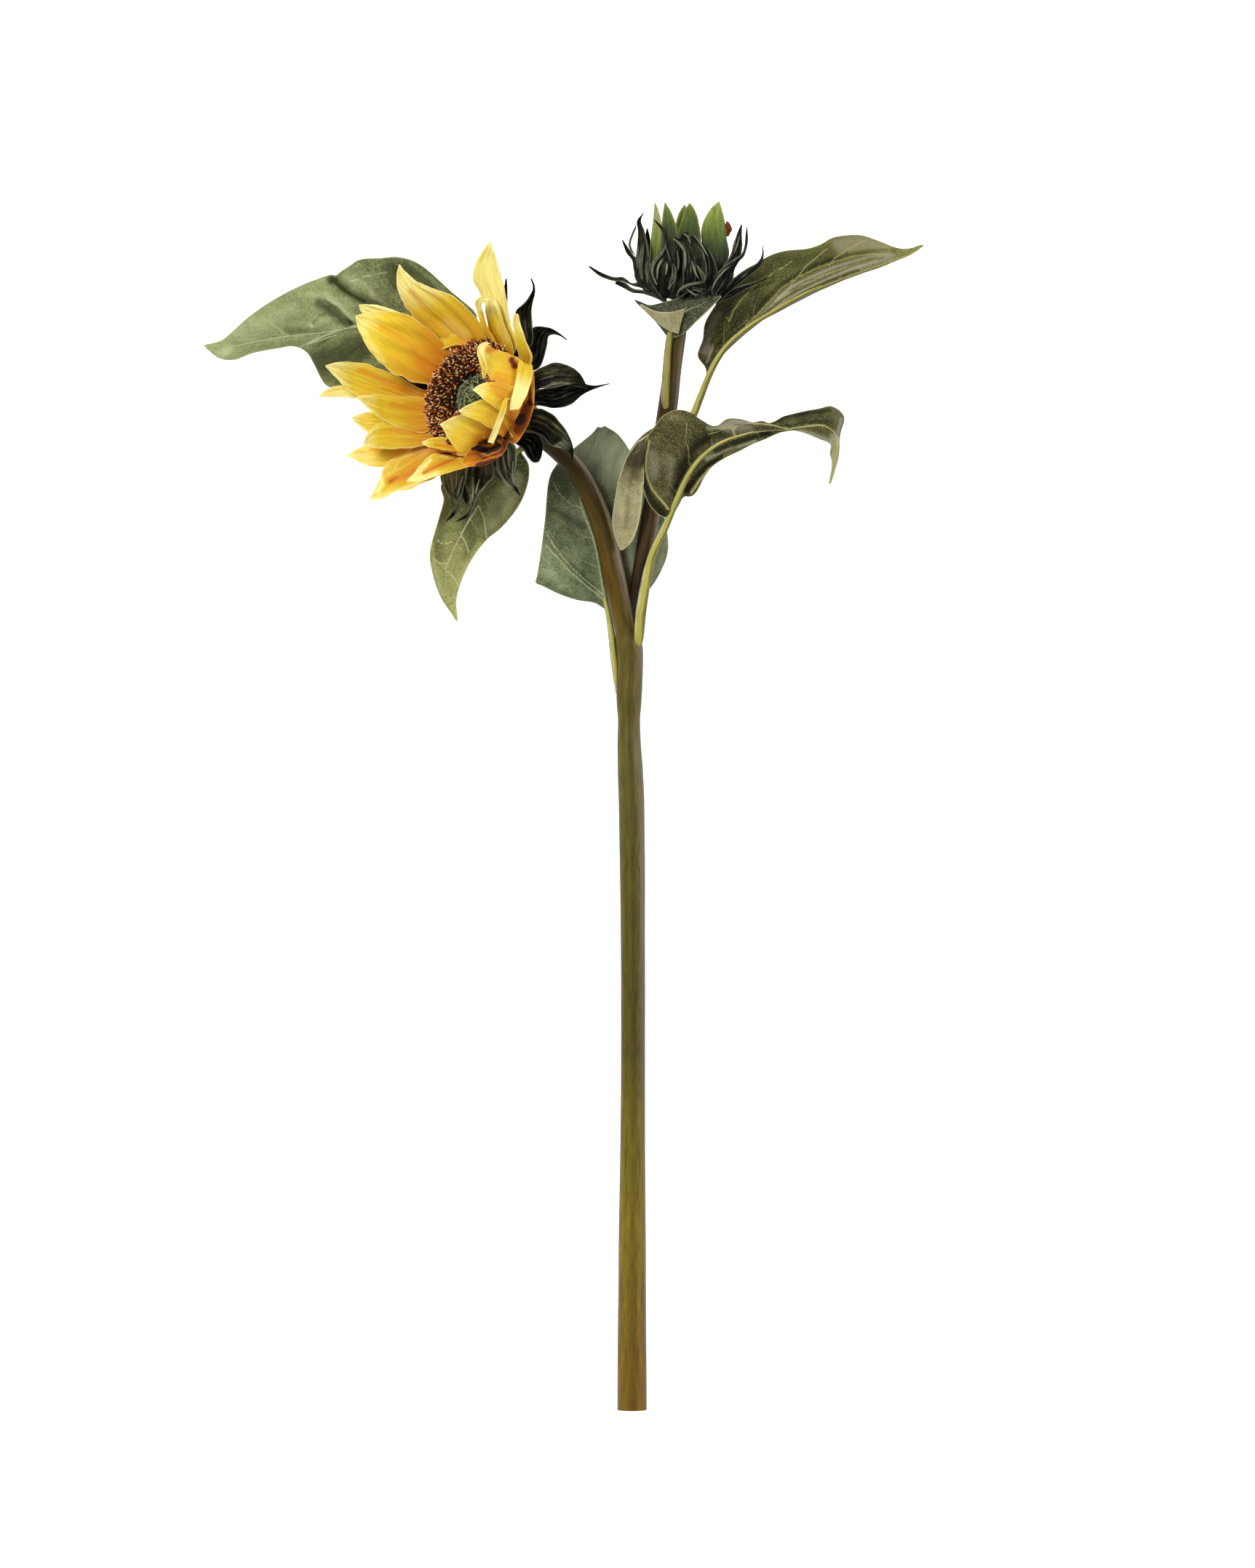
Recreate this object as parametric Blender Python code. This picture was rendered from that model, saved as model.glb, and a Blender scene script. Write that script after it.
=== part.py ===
"""A cut sunflower lying on a surface: one open flower on a curved neck, one bud on a side branch, and six leaves.

Blender 4.5. The surface is z = 0, +Y runs along the stem from its cut end to the bud, and +Z is up. The origin lies
on the surface, under the middle of the whole flower. Lengths below are in millimetres.
"""

import math

import bpy
import numpy as np
from mathutils import Matrix, Vector

MM = 0.001
SEAT_GAP = 0.3  # what every piece keeps clear of the piece that carries it

LEAF_THICKNESS = 1.0
PETAL_THICKNESS = 0.9
BRACT_THICKNESS = 1.1


# ---------------------------------------------------------------- shaping helpers


def smooth(points, count):
    """count + 1 points on a smooth curve through the given ones, which are evenly spaced along it."""
    p = np.asarray(points, float)
    p = np.vstack([2 * p[0] - p[1], p, 2 * p[-1] - p[-2]])
    u = np.linspace(0, len(p) - 3, count + 1)
    i = np.minimum(u.astype(int), len(p) - 4)
    t = (u - i)[:, None]
    a, b, c, d = p[i], p[i + 1], p[i + 2], p[i + 3]
    return 0.5 * (2 * b + (c - a) * t + (2 * a - 5 * b + 4 * c - d) * t**2 + (3 * b - a - 3 * c + d) * t**3)


def material(name, colour, roughness):
    """A matt or satin surface of one colour, given as linear red, green and blue."""
    made = bpy.data.materials.new(name)
    made.use_nodes = True
    surface = made.node_tree.nodes["Principled BSDF"]
    surface.inputs["Base Color"].default_value = (*colour, 1.0)
    surface.inputs["Roughness"].default_value = roughness
    surface.inputs["Metallic"].default_value = 0.0
    return made


def add_object(name, mesh, finish, parent=None):
    mesh.materials.append(finish)
    made = bpy.data.objects.new(name, mesh)
    bpy.context.scene.collection.objects.link(made)
    made.parent = parent
    return made


def hide_as_helper(helper):
    helper.hide_render = True
    helper.display_type = "WIRE"
    return helper


def grid_mesh(name, grid):
    """An open sheet through a grid of points in millimetres."""
    rows, columns = grid.shape[:2]
    quads = [
        (r * columns + c, r * columns + c + 1, (r + 1) * columns + c + 1, (r + 1) * columns + c)
        for r in range(rows - 1)
        for c in range(columns - 1)
    ]
    mesh = bpy.data.meshes.new(name)
    mesh.from_pydata((grid.reshape(-1, 3) * MM).tolist(), [], quads)
    mesh.shade_smooth()
    return mesh


def thicken(sheet, thickness):
    solidify = sheet.modifiers.new("thickness", "SOLIDIFY")
    solidify.thickness = thickness * MM
    solidify.offset = 0.0
    return sheet


def boolean(target, other, operation):
    cut = target.modifiers.new(f"{operation.lower()}_{other.name}", "BOOLEAN")
    cut.operation = operation
    cut.object = other


def tube_mesh(name, points, radii, sides):
    """A round bar along a smooth curve, closed at both ends. Its flats, not its edges, touch the stated radius."""
    path = np.asarray(points, float)
    path = path if len(path) == len(radii) else smooth(path, len(radii) - 1)
    across = Vector((1, 0, 0))
    rings = []
    for i, centre in enumerate(path):
        ahead = path[min(i + 1, len(path) - 1)] - path[max(i - 1, 0)]
        along = Vector(ahead).normalized()
        across = (across - along * across.dot(along)).normalized()
        upward = across.cross(along).normalized()
        reach = radii[i] / math.cos(math.pi / sides)
        for k in range(sides):
            turn = 2 * math.pi * (k + 0.5) / sides
            offset = across * math.sin(turn) * reach + upward * math.cos(turn) * reach
            rings.append((Vector(centre) + offset) * MM)
    last = len(path) - 1
    faces = [
        (r * sides + k, r * sides + (k + 1) % sides, (r + 1) * sides + (k + 1) % sides, (r + 1) * sides + k)
        for r in range(last)
        for k in range(sides)
    ]
    faces.append(tuple(reversed(range(sides))))
    faces.append(tuple(last * sides + k for k in range(sides)))
    mesh = bpy.data.meshes.new(name)
    mesh.from_pydata(rings, [], faces)
    mesh.shade_smooth()
    mesh.set_sharp_from_angle(angle=math.radians(50))
    return mesh


def turned_object(name, profile, finish, parent, steps):
    """A solid turned about local Z. The profile of (radius, height) runs down its outer side, top to bottom."""
    mesh = bpy.data.meshes.new(name)
    closed = profile[0][0] > 0
    count = len(profile)
    edges = [(i, i + 1) for i in range(count - 1)] + ([(count - 1, 0)] if closed else [])
    mesh.from_pydata([(r * MM, 0, h * MM) for r, h in profile], edges, [])
    made = add_object(name, mesh, finish, parent)
    screw = made.modifiers.new("turn", "SCREW")
    screw.steps = steps
    screw.render_steps = steps
    screw.use_merge_vertices = True
    screw.merge_threshold = 0.00001
    screw.use_smooth_shade = True
    return made


# ---------------------------------------------------------------- finishes

for old in list(bpy.data.objects):
    bpy.data.objects.remove(old, do_unlink=True)

STEM_GREEN = material("stem_green", (0.19, 0.15, 0.035), 0.45)
LEAF_GREEN = material("leaf_green", (0.16, 0.19, 0.08), 0.75)
PETAL_YELLOW = material("petal_yellow", (0.88, 0.56, 0.04), 0.6)
BRACT_GREEN = material("bract_green", (0.025, 0.035, 0.018), 0.7)
FLORET_BROWN = material("floret_brown", (0.15, 0.045, 0.015), 0.9)
CENTRE_GREEN = material("centre_green", (0.05, 0.06, 0.025), 0.95)
BUD_PETAL_GREEN = material("bud_petal_green", (0.13, 0.24, 0.035), 0.6)


# ---------------------------------------------------------------- stem and side branch

STEM_END_Y = -332.4
FORK_Y = 90.0
STEM_END_RADIUS = 8.2
STEM_WAIST_RADIUS = 6.7
FORK_RADIUS = 7.3
STEM_SIDES = 12

# The flower head's frame: where its ray petals meet, and the way it faces.
HEAD_CENTRE = Vector((-44.6, 222.4, 45.0))
HEAD_AXIS = Vector((-0.636, 0.304, 0.709)).normalized()
NECK_SEAT = 22.0  # depth of the green receptacle behind the petals
NECK_RADIUS = 5.8

head_back = HEAD_CENTRE - HEAD_AXIS * (NECK_SEAT + SEAT_GAP)
before_back = head_back - HEAD_AXIS * 7.5

stem_route = [
    (37.8, STEM_END_Y, STEM_END_RADIUS),
    (37.9, -250, 7.9),
    (38.3, -170, 7.8),
    (38.4, -90, 7.7),
    (37.8, -10, 7.6),
    (36.8, 50, 7.5),
    (36.8, 80, 7.4),
    (36.2, FORK_Y, 7.5),
    (34.2, 100, 8.2),
    (29.6, 120, 9.6),
    (25.4, 140, 10.4),
    (19.9, 160, 10.8),
    (11.2, 179.5, 11.6),
    (4.4, 189, 12.4),
    (-5, 198, 14.2),
    (-16, 206.5, 18.0),
    tuple(before_back),
    tuple(head_back),
]
stem_radii = [
    STEM_END_RADIUS,
    7.6,
    STEM_WAIST_RADIUS,
    STEM_WAIST_RADIUS,
    7.1,
    7.1,
    7.2,
    FORK_RADIUS,
    6.2,
    6.6,
    6.2,
    6.2,
    NECK_RADIUS,
    5.6,
    5.5,
    5.5,
    NECK_RADIUS,
    6.2,
]

branch_route = [
    (37.6, 90, 8.0),
    (39.2, 105, 8.2),
    (42.0, 125, 9.0),
    (46.4, 150, 11.0),
    (50.4, 175, 13.5),
    (54.0, 200, 16.5),
    (57.4, 219, 19.0),
    (60.0, 240, 21.4),
    (62.8, 262, 23.8),
]
BUD_BASE = Vector((64.8, 277.5, 25.8))
BUD_AXIS = Vector((0.075, 0.985, 0.12)).normalized()
branch_end = BUD_BASE - BUD_AXIS * 2 * SEAT_GAP
branch_route.append(tuple(branch_end))
branch_radii = [4.2, 4.3, 4.6, 4.8, 4.9, 5.0, 5.5, 5.1, 5.1, 5.0]


def stem_and_branch():
    """The stalk runs from its cut end into the flower's neck; the side branch is seated on it at the fork."""
    stem = add_object("stem", tube_mesh("stem", stem_route, stem_radii, STEM_SIDES), STEM_GREEN)
    round_stem = [r + SEAT_GAP for r in stem_radii]
    around_stem = add_object("stem_clearance", tube_mesh("stem_clearance", stem_route, round_stem, STEM_SIDES), STEM_GREEN)
    hide_as_helper(around_stem)
    branch = add_object("bud_branch", tube_mesh("bud_branch", branch_route, branch_radii, 10), STEM_GREEN)
    boolean(branch, around_stem, "DIFFERENCE")
    round_branch = [r + SEAT_GAP for r in branch_radii]
    around_branch = add_object(
        "branch_clearance", tube_mesh("branch_clearance", branch_route, round_branch, 10), STEM_GREEN
    )
    hide_as_helper(around_branch)
    return around_stem, around_branch


around_stem, around_branch = stem_and_branch()


# ---------------------------------------------------------------- leaves


def bowed(midrib, margin, lift):
    """The rails of one half of a blade: one halfway out, raised by lift in the middle of the leaf, and the margin."""
    inner, outer = np.asarray(midrib, float), np.asarray(margin, float)
    share = np.sin(np.linspace(0, math.pi, len(inner)))
    return [(inner + outer) / 2 + np.outer(share, (0, 0, lift)), outer]


def blade_grid(midrib, left, right, along, across):
    """Rows from base to tip; columns from the left margin over the midrib to the right margin."""

    def half(rails):
        swept = np.stack([smooth(rail, along) for rail in [midrib, *rails]], axis=1)
        return np.stack([smooth(row, across) for row in swept])

    return np.concatenate([half(left)[:, ::-1], half(right)[:, 1:]], axis=1)


def leaf(name, grid, petiole, radii, seats, lobes=()):
    """A blade with its stalk in one solid, and with lobes that fold away from it. Its stalk is cut back to its seats."""
    made = thicken(add_object(name, grid_mesh(name, grid), LEAF_GREEN), LEAF_THICKNESS)
    for number, lobe in enumerate(lobes):
        folded = add_object(f"{name}_lobe_{number}", grid_mesh(name, lobe), LEAF_GREEN)
        boolean(made, hide_as_helper(thicken(folded, LEAF_THICKNESS)), "UNION")
    stalk = add_object(f"{name}_stalk", tube_mesh(name, petiole, radii, 8), LEAF_GREEN)
    boolean(made, hide_as_helper(stalk), "UNION")
    for seat in seats:
        boolean(made, seat, "DIFFERENCE")
    return made


def leaf_behind_head():
    """Lies flat behind the flower, with its tip on the surface at the far left."""
    midrib = [
        (-52, 262, 5.0),
        (-68, 266, 4.5),
        (-84, 268, 4.5),
        (-100, 267, 4.5),
        (-118, 264, 5.5),
        (-137, 260.5, 6.5),
        (-156, 258.5, 6.5),
        (-177, 255.5, 4.0),
        (-198.2, 254.5, 0.9),
    ]
    upper = [
        (-51, 263.5, 5.0),
        (-48, 272, 2.5),
        (-65, 286, 2.0),
        (-84, 301, 2.5),
        (-104, 302.5, 5.0),
        (-124, 292.0, 3.0),
        (-145, 286.3, 4.0),
        (-170, 272, 3.0),
        (-198.3, 255.2, 0.9),
    ]
    lower = [
        (-53, 260.5, 5.0),
        (-64, 252, 2.0),
        (-84, 243, 1.3),
        (-104, 236, 1.0),
        (-129, 232.6, 0.7),
        (-140, 249, 2.0),
        (-152, 252.8, 3.0),
        (-183, 247, 1.0),
        (-198.1, 253.8, 0.9),
    ]
    grid = blade_grid(midrib, bowed(midrib, lower, 2.5), bowed(midrib, upper, 2.0), 12, 3)
    petiole = [(-60, 264.5, 4.6), (-44, 256, 4.0), (-30, 240, 4.2), (-18, 222, 6.5), (-8, 203, 11)]
    leaf("leaf_behind_head", grid, petiole, [1.5, 1.7, 1.8, 1.9, 1.9, 2.0, 2.0, 2.1, 2.2], [around_stem])


def leaf_below_head():
    """Hangs from the neck just behind the head, and slopes down to the surface."""
    midrib = [
        (-24, 196, 10.0),
        (-31, 187, 9.5),
        (-39, 177, 8.5),
        (-47, 165.5, 7.5),
        (-55, 152, 6.5),
        (-61.5, 140, 5.0),
        (-65, 129, 3.5),
        (-64, 116, 2.0),
        (-58.9, 102.5, 0.9),
    ]
    outer = [
        (-25, 197, 10.0),
        (-40, 194, 8.0),
        (-56, 188, 6.0),
        (-66.5, 177, 4.5),
        (-68, 161, 4.0),
        (-73.4, 142, 3.0),
        (-72, 129, 2.0),
        (-67.5, 115.5, 1.3),
        (-59.6, 102.6, 0.9),
    ]
    inner = [
        (-23, 195, 10.0),
        (-19.5, 189, 9.0),
        (-20.5, 178, 8.0),
        (-26, 163, 6.5),
        (-36, 152.5, 5.0),
        (-47.5, 140.5, 4.0),
        (-55, 127, 3.0),
        (-58.5, 114, 1.5),
        (-58.2, 102.4, 0.9),
    ]
    grid = blade_grid(midrib, bowed(midrib, inner, 1.5), bowed(midrib, outer, 1.5), 10, 2)
    petiole = [(-30, 188.5, 9.6), (-23, 197, 10.2), (-14, 199.5, 11.5), (-5, 198.5, 13.5)]
    leaf("leaf_below_head", grid, petiole, [1.4, 1.6, 1.8, 1.9, 2.0], [around_stem])


def leaf_behind_fork():
    """The broad leaf that lies on the surface under the neck, with its stalk along the stem's left side."""
    midrib = [
        (24.5, 108.5, 2.8),
        (22, 117, 1.9),
        (19, 127, 1.3),
        (15, 139, 1.0),
        (12, 153, 0.9),
        (11, 168, 0.9),
        (14, 186, 1.2),
        (21, 209, 3.5),
    ]
    outer = [
        (23.5, 108.4, 2.8),
        (14, 112.8, 2.5),
        (0, 116, 3.5),
        (-14.8, 123.5, 7.0),
        (-11.8, 146, 5.0),
        (-8.8, 175, 3.5),
        (3, 197, 3.0),
        (19, 209.5, 3.5),
    ]
    inner = [
        (25.6, 108.5, 2.8),
        (34, 110, 1.2),
        (45, 117, 0.9),
        (54, 130, 0.9),
        (58, 145, 1.8),
        (53, 168, 1.5),
        (40, 191, 1.2),
        (23, 210, 3.5),
    ]
    grid = blade_grid(midrib, bowed(midrib, inner, -0.2), bowed(midrib, outer, -0.5), 9, 3)
    petiole = [(22.8, 115, 2.1), (25.2, 104, 3.6), (26.8, 93, 5.6), (28.2, 80, 6.8), (30.2, 62, 7.2)]
    leaf("leaf_behind_fork", grid, petiole, [1.3, 1.5, 1.7, 1.9, 2.0, 2.0, 1.6], [around_stem])


def leaf_front_fork():
    """Rises on a thick stalk in front of the side branch; one lobe folds back, and the tip droops to the surface."""
    midrib = [
        (60.5, 163, 23.5),
        (63, 169, 25.0),
        (66.5, 177, 26.5),
        (71, 186, 28.5),
        (78.5, 194.5, 30.5),
        (89, 201, 32.0),
        (103, 205, 32.5),
        (121, 207.2, 31.5),
        (135, 208.3, 30.0),
        (146, 208.8, 27.0),
        (151, 206, 20.0),
        (149.3, 192, 9.0),
        (147, 178.2, 1.0),
    ]
    crest = [
        (60, 163.8, 24.0),
        (51.5, 171.5, 27.0),
        (45.5, 184, 31.0),
        (47, 199, 34.0),
        (58, 215.5, 36.0),
        (76, 211, 35.5),
        (93, 212.5, 35.0),
        (113, 210.4, 33.0),
        (131, 215.2, 31.0),
        (147, 218.7, 28.0),
        (153, 213.5, 20.0),
        (150.6, 195, 10.0),
        (147.7, 178.4, 1.0),
    ]
    low = [
        (61.4, 162.6, 23.3),
        (67, 168.5, 21.5),
        (72.5, 171.5, 19.0),
        (78, 183, 20.0),
        (87, 189, 23.0),
        (99, 196, 26.0),
        (112, 201.5, 28.0),
        (124, 205.8, 30.0),
        (135, 204.5, 29.0),
        (146, 199.8, 25.0),
        (148, 199, 18.0),
        (147.8, 189, 8.5),
        (146.4, 178.0, 1.0),
    ]
    grid = blade_grid(midrib, bowed(midrib, low, -1.0), bowed(midrib, crest, 3.0), 15, 2)
    fold_middle = [(54, 207, 34), (44.5, 199, 33.5), (38, 187, 31), (35.8, 172, 28), (35, 158, 25), (33, 147, 22), (32, 141, 20)]
    fold_outer = [(53, 210, 34), (43, 203, 31.5), (33, 190, 28), (29, 175, 26), (27.5, 160, 23), (29.5, 147, 21), (31.2, 141, 20)]
    fold_inner = [(55, 204, 34), (46.5, 197, 35), (43, 187, 33), (43.5, 173, 29), (41, 157, 25), (36.5, 146, 22), (32.8, 141, 20)]
    folded = blade_grid(fold_middle, [fold_inner], [fold_outer], 7, 1)
    petiole = [
        (67.5, 179, 26.4),
        (61, 164, 23.4),
        (54.5, 150, 20.0),
        (46.2, 132.5, 17.6),
        (42.4, 108, 15.8),
        (41.5, 90.5, 13.9),
    ]
    radii = [1.2, 1.6, 1.9, 2.2, 2.4, 2.5, 2.6, 2.7, 2.8, 2.9, 2.9]
    leaf("leaf_front_fork", grid, petiole, radii, [around_stem, around_branch], [folded])


def leaf_beside_bud():
    """The long leaf beside the bud; its lower half hangs, and its tip comes down to the surface at the far right."""
    midrib = [
        (80, 238, 20.0),
        (85, 247.5, 21.0),
        (93, 256.5, 22.0),
        (102.5, 265, 22.5),
        (112, 273.5, 22.0),
        (123, 283.5, 21.0),
        (136, 291, 19.0),
        (151, 297, 16.0),
        (168, 302.5, 11.0),
        (185, 306.3, 5.5),
        (198.3, 309.8, 0.9),
    ]
    upper = [
        (79, 238.4, 20.0),
        (74.3, 248, 18.5),
        (78, 263, 16.0),
        (90, 280, 13.0),
        (103, 295, 12.5),
        (118, 304, 14.0),
        (135, 307, 16.0),
        (150, 313, 14.0),
        (167, 313, 10.0),
        (184, 308.6, 5.0),
        (198.1, 310.4, 0.9),
    ]
    lower = [
        (80.9, 237.6, 20.0),
        (87, 246.5, 19.0),
        (96, 255.5, 18.0),
        (106, 264.0, 17.5),
        (116, 272, 17.0),
        (127, 278.9, 16.0),
        (141, 285.3, 14.0),
        (156, 291.8, 11.0),
        (172, 297.8, 7.5),
        (188, 303.8, 3.5),
        (198.5, 309.2, 0.9),
    ]
    grid = blade_grid(midrib, bowed(midrib, lower, 0.5), bowed(midrib, upper, 2.5), 13, 2)
    petiole = [(87, 250, 21.0), (80, 237, 20.0), (75, 224, 19.0), (70.5, 213.5, 18.3), (62.5, 203.5, 17.6), (54, 195.5, 16.4)]
    leaf("leaf_beside_bud", grid, petiole, [1.3, 1.6, 1.8, 1.9, 2.0, 2.1, 2.2, 2.3], [around_branch])


def leaf_under_bud():
    """The small leaf that wraps round in front of the branch under the bud, with one lobe folded towards the viewer."""
    midrib = [(58, 257, 29.5), (59.5, 262, 32.5), (62.5, 267.5, 36), (69, 271.5, 38), (77, 274.8, 38), (86.3, 278.8, 34.6)]
    upper = [(57, 257.6, 29.5), (50, 266.5, 30), (39.6, 277, 31), (54, 275, 34), (70, 276.8, 36.5), (86.0, 279.5, 34.6)]
    lower = [(59.2, 256.6, 29.7), (62, 257.5, 33.5), (65.5, 258.0, 37), (71, 263, 39.5), (79, 269, 40), (86.8, 278.2, 34.6)]
    grid = blade_grid(midrib, bowed(midrib, lower, 0.5), bowed(midrib, upper, 1.0), 7, 2)
    flap_root = [(42, 274.5, 32.0), (49, 267.5, 34.0), (57, 262, 36.0), (64, 259.2, 38.0)]
    flap_edge = [(43, 275.0, 32.5), (52, 270.5, 38.0), (60, 269.8, 41.5), (66.5, 271.3, 43.0)]
    flap_middle = bowed(flap_root, flap_edge, 1.0)[0]
    flap = blade_grid(flap_middle, [np.asarray(flap_root)], [np.asarray(flap_edge)], 4, 1)
    petiole = [(59.6, 262, 32.6), (58.3, 256.5, 30.2), (57.4, 248, 28.6), (56.6, 236, 27.0), (56.2, 221, 24.4)]
    leaf("leaf_under_bud", grid, petiole, [1.3, 1.7, 1.9, 2.0, 2.1, 2.3, 2.4], [around_branch], [flap])


leaf_behind_head()
leaf_below_head()
leaf_behind_fork()
leaf_front_fork()
leaf_beside_bud()
leaf_under_bud()


# ---------------------------------------------------------------- flower head


def frame_empty(name, centre, axis, high_side):
    """An empty whose Z is the axis and whose X is the way round it that faces high_side."""
    across = (high_side - axis * high_side.dot(axis)).normalized()
    side = axis.cross(across)
    turn = Matrix((across, side, axis)).transposed().to_4x4()
    empty = bpy.data.objects.new(name, None)
    bpy.context.scene.collection.objects.link(empty)
    empty.matrix_world = Matrix.Translation(centre * MM) @ turn
    return empty


def strap_grid(root, slopes, length, half_width, outline, channel, along, across):
    """A petal or bract in its own frame: it leaves root = (radius, height) along +X and climbs towards +Z.

    slopes are its climb in degrees from root to tip, outline its half-width at even steps, and channel how far its
    edges stand above its middle.
    """
    steps = 40
    climb = np.radians(smooth([(s,) for s in slopes], steps)[:, 0])
    step = length / steps
    out = root[0] + np.concatenate([[0], np.cumsum(np.cos(climb[:-1]) * step)])
    up = root[1] + np.concatenate([[0], np.cumsum(np.sin(climb[:-1]) * step)])
    widths = smooth([(w,) for w in outline], along)[:, 0] * half_width
    grid = np.zeros((along + 1, across + 1, 3))
    for row, place in enumerate(np.linspace(0, steps, along + 1)):
        i = min(int(round(place)), steps)
        for column, v in enumerate(np.linspace(-1, 1, across + 1)):
            rise = channel * math.sin(math.pi * row / along) * v * v
            grid[row, column] = (
                out[i] - math.sin(climb[i]) * rise,
                widths[row] * v,
                up[i] + math.cos(climb[i]) * rise,
            )
    return grid


def add_strap(name, parent, azimuth, grid, thickness, finish):
    made = thicken(add_object(name, grid_mesh(name, grid), finish, parent), thickness)
    made.rotation_euler = (0, 0, math.radians(azimuth))
    return made


RECEPTACLE_RADIUS = 22.5
BRACT_SEAT_RADIUS = 20.5
DISC_RADIUS = 30.5
CENTRE_RADIUS = 12.6
PETAL_OUTLINE = (0.34, 0.6, 0.86, 1.0, 0.98, 0.78, 0.42, 0.06)
BRACT_OUTLINE = (0.55, 0.95, 1.0, 0.72, 0.32, 0.1)

head = frame_empty("head_frame", HEAD_CENTRE, HEAD_AXIS, Vector((0, 0, 1)))


def head_core():
    """The green receptacle on the neck, the ring of brown disc florets and the sunken green centre."""
    receptacle = [
        (0, 1.2),
        (RECEPTACLE_RADIUS, 1.2),
        (RECEPTACLE_RADIUS, -8.4),
        (BRACT_SEAT_RADIUS, -9.2),
        (BRACT_SEAT_RADIUS, -14.2),
        (11, -18.5),
        (6.6, -NECK_SEAT),
        (0, -NECK_SEAT),
    ]
    turned_object("flower_receptacle", receptacle, BRACT_GREEN, head, 24)
    ring_top = [
        (CENTRE_RADIUS + SEAT_GAP, 9.5),
        (15.5, 12.5),
        (20.5, 14.0),
        (26.0, 13.0),
        (29.5, 10.0),
        (DISC_RADIUS, 7.5),
        (28.5, 5.0),
        (22.0, 1.2 + SEAT_GAP),
        (CENTRE_RADIUS + SEAT_GAP, 1.2 + SEAT_GAP),
    ]
    turned_object("disc_florets", ring_top, FLORET_BROWN, head, 24)
    centre = [(0, 11.0), (6.0, 10.4), (10.5, 8.6), (CENTRE_RADIUS, 6.0), (CENTRE_RADIUS, 1.5), (0, 1.5)]
    turned_object("disc_centre", centre, CENTRE_GREEN, head, 18)


def head_petals():
    """Ray petals in four whorls, each rooted behind the last and opening wider.

    Each petal is (way round the head, climb, length, half-width).
    """
    whorls = [
        [
            (0, 84, 50, 10),
            (40, 82, 48, 9),
            (79, 71, 52, 6),
            (136, 55, 72, 12),
            (168, 62, 72, 13.5),
            (204, 42, 60, 12),
            (235, 38, 53, 11),
            (289, 80, 46, 6),
            (318, 86, 51, 9.5),
        ],
        [
            (26, 43, 46, 8),
            (69, 66, 54, 7),
            (96, 42, 70, 10),
            (165, 40, 73, 7),
            (193, 32.5, 79, 10.5),
            (225, 20, 64, 8.5),
            (251, 17, 62.5, 12),
            (279, 47, 50, 7),
            (338, 86, 52, 9),
        ],
        [(4, 49, 46, 8), (55, 62, 56, 7), (204, 32, 80, 8), (315, 54, 44, 9)],
        [(210, 25, 64, 8)],
    ]
    number = 0
    for whorl, petals in enumerate(whorls):
        root = (RECEPTACLE_RADIUS + SEAT_GAP + 0.1, -0.6 - 2.3 * whorl)
        for azimuth, climb, length, half_width in petals:
            number += 1
            slopes = ((10, 2, -6, -12)[whorl], climb * (0.8, 0.7, 0.6, 0.55)[whorl], climb + 6, climb + 8)
            grid = strap_grid(root, slopes, length, half_width, PETAL_OUTLINE, 1.2, 7, 2)
            add_strap(f"ray_petal_{number:02d}", head, azimuth, grid, PETAL_THICKNESS, PETAL_YELLOW)


def head_bracts():
    """The green bracts behind the petals, in two rows: (row, way round, climb, length, half-width)."""
    bracts = [
        (0, 30, 6, 44, 8),
        (0, 60, 14, 47, 6.5),
        (0, 86, 30, 58, 6.5),
        (0, 112, 14, 58, 4),
        (0, 158, 13, 33, 7),
        (0, 205, 8, 34, 7),
        (0, 264, -4, 51, 7.5),
        (0, 308, -22, 42, 7),
        (0, 336, -22, 26, 6),
        (1, 44, -36, 50, 8.5),
        (1, 282, -8, 46, 7.5),
        (1, 350, -34, 41, 8),
    ]
    for number, (row, azimuth, climb, length, half_width) in enumerate(bracts, 1):
        root = (BRACT_SEAT_RADIUS + 0.4, -10.4 - 2.6 * row)
        slopes = (-40, climb - 6, climb, climb)
        grid = strap_grid(root, slopes, length, half_width, BRACT_OUTLINE, 1.5, 5, 2)
        add_strap(f"flower_bract_{number:02d}", head, azimuth, grid, BRACT_THICKNESS, BRACT_GREEN)


head_core()
head_petals()
head_bracts()


# ---------------------------------------------------------------- bud

BUD_PETAL_OUTLINE = (0.7, 0.95, 1.0, 0.75, 0.12)
BUD_BRACT_OUTLINE = (0.8, 1.0, 0.8, 0.45, 0.1)

bud = frame_empty("bud_frame", BUD_BASE, BUD_AXIS, Vector((1, 0, 0)))


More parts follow.
